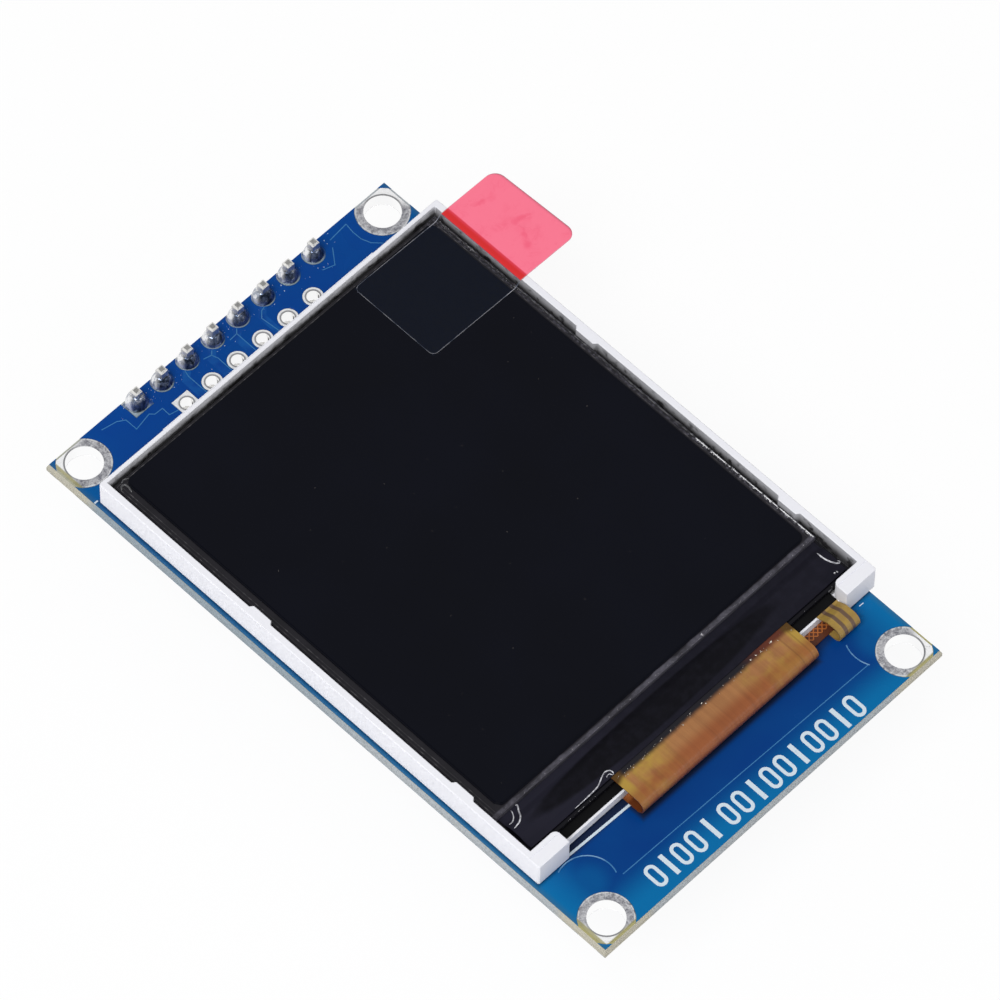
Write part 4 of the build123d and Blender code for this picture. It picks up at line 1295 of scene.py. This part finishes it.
class BuildStage(bpy.types.Operator):
    """Lay the floor and backdrop, set the lamps, the sky and the camera"""

    bl_idname = "display_module.stage"
    bl_label = "Stage"

    def execute(self, context):
        looks = context.scene.module_stage
        scene = context.scene
        pale = Finish("pale_floor", 0.1, Roughness=0.9)
        tone = tuple(looks.floor)
        pale.use(Base_Color=pale.mix(pale.noise(0.02) * 0.3, tone, tuple(0.985 * c for c in tone)))
        ray = pale.node("ShaderNodeLightPath", {}, {})
        seen = Field(pale, ray.outputs["Is Camera Ray"])
        for other in ("Is Glossy Ray", "Is Transmission Ray"):
            seen = seen.most(Field(pale, ray.outputs[other]))
        glow = pale.node("ShaderNodeEmission", {}, {"Color": (1.0, 1.0, 1.0), "Strength": 1.0})
        both = {0: seen * 0.93, 1: pale.shader.outputs[0], 2: glow.outputs[0]}
        shown = pale.node("ShaderNodeMixShader", {}, both)
        pale.feed(pale.output.inputs["Surface"], shown.outputs[0])

        sides, verts = 96, []
        profile = ((0.05, 0.0), (1.6, 0.0), (1.85, 0.06), (2.0, 0.22), (2.02, 0.3))
        for radius, height in profile:
            verts += [(radius * c, radius * s, cad_low.z + height) for c, s in circle(sides)]
        faces = [list(range(sides))]
        for r in range(len(profile) - 1):
            here, there = r * sides, (r + 1) * sides
            for i in range(sides):
                j = (i + 1) % sides
                faces.append([here + i, there + i, there + j, here + j])
        mesh = bpy.data.meshes.new("floor_and_backdrop")
        mesh.from_pydata(verts, [], faces)
        mesh.materials.append(pale.material)
        floor = bpy.data.objects.new("floor_and_backdrop", mesh)
        scene.collection.objects.link(floor)

        lamps = (
            ("key_lamp", looks.key, (-0.42, -0.14, 0.75), 0.5),
            ("side_lamp", looks.side, (-0.85, 0.4, 0.42), 0.6),
            ("front_lamp", looks.front, (0.12, -0.75, 0.5), 0.4),
        )
        for name, power, place, width in lamps:
            lamp = bpy.data.lights.new(name, "AREA")
            lamp.energy = power
            lamp.shape = "SQUARE"
            lamp.size = width
            holder = bpy.data.objects.new(name, lamp)
            holder.location = place
            holder.rotation_euler = (-Vector(place)).to_track_quat("-Z", "Y").to_euler()
            scene.collection.objects.link(holder)

        world = bpy.data.worlds.new("soft_sky")
        scene.world = world
        world.use_nodes = True
        sky = world.node_tree.nodes["Background"]
        sky.inputs["Color"].default_value = (0.97, 0.98, 1.0, 1.0)
        sky.inputs["Strength"].default_value = looks.sky

        turn, rise, roll = math.radians(-46.3942), math.radians(59.2179), math.radians(1.193)
        flat = math.cos(rise)
        back = Vector((math.sin(turn) * flat, -math.cos(turn) * flat, math.sin(rise)))
        level = Vector((math.cos(turn), math.sin(turn), 0))
        upright = back.cross(level)
        right = math.cos(roll) * level + math.sin(roll) * upright
        up = -math.sin(roll) * level + math.cos(roll) * upright
        eye = 0.5662 * right + 4.0214 * up + 653.2 * back + Vector((0, 0, mask_high.z))
        camera = bpy.data.cameras.new("studio_camera")
        camera.lens = looks.lens
        camera.sensor_width = 36.0
        camera.clip_start = 0.01
        camera.clip_end = 20.0
        holder = bpy.data.objects.new("studio_camera", camera)
        turned = Matrix((right, up, back)).transposed().to_4x4()
        holder.matrix_world = Matrix.Translation(eye * MM) @ turned
        scene.collection.objects.link(holder)
        scene.camera = holder
        scene.view_settings.view_transform = "Standard"
        return {"FINISHED"}


class ModulePanel(bpy.types.Panel):
    """Steps and values of the display module"""

    bl_idname = "DISPLAY_MODULE_PT_panel"
    bl_label = "Display Module"
    bl_space_type = "VIEW_3D"
    bl_region_type = "UI"
    bl_category = "Display Module"

    def draw(self, context):
        for step in STEPS:
            self.layout.operator(step.bl_idname)
        for name in GROUPS:
            values = getattr(context.scene, name)
            section = self.layout.box()
            section.label(text=name.replace("module_", "").title())
            for key in values.__annotations__:
                section.prop(values, key)


GROUPS = {
    "module_board": BoardLooks,
    "module_metal": MetalLooks,
    "module_frame": FrameLooks,
    "module_display": DisplayLooks,
    "module_flex": FlexLooks,
    "module_tab": TabLooks,
    "module_stage": StageLooks,
}

STEPS = (
    DressLaminate,
    DressMask,
    AddTracks,
    AddPrint,
    DressMetal,
    DressHeader,
    DressFrame,
    DressDisplay,
    DressLedge,
    DressFlexes,
    DressTab,
    BuildStage,
)


def register():
    for name, group in GROUPS.items():
        bpy.utils.register_class(group)
        setattr(bpy.types.Scene, name, PointerProperty(type=group))
    for step in STEPS:
        bpy.utils.register_class(step)
    bpy.utils.register_class(ModulePanel)


def unregister():
    bpy.utils.unregister_class(ModulePanel)
    for step in reversed(STEPS):
        bpy.utils.unregister_class(step)
    for name, group in GROUPS.items():
        delattr(bpy.types.Scene, name)
        bpy.utils.unregister_class(group)


def main():
    register()
    steps = bpy.ops.display_module
    steps.laminate()
    steps.mask()
    steps.tracks()
    steps.print()
    steps.metal()
    steps.header()
    steps.backlight()
    steps.display()
    steps.ledge()
    steps.flexes()
    steps.pull_tab()
    steps.stage()


if __name__ == "__main__":
    main()
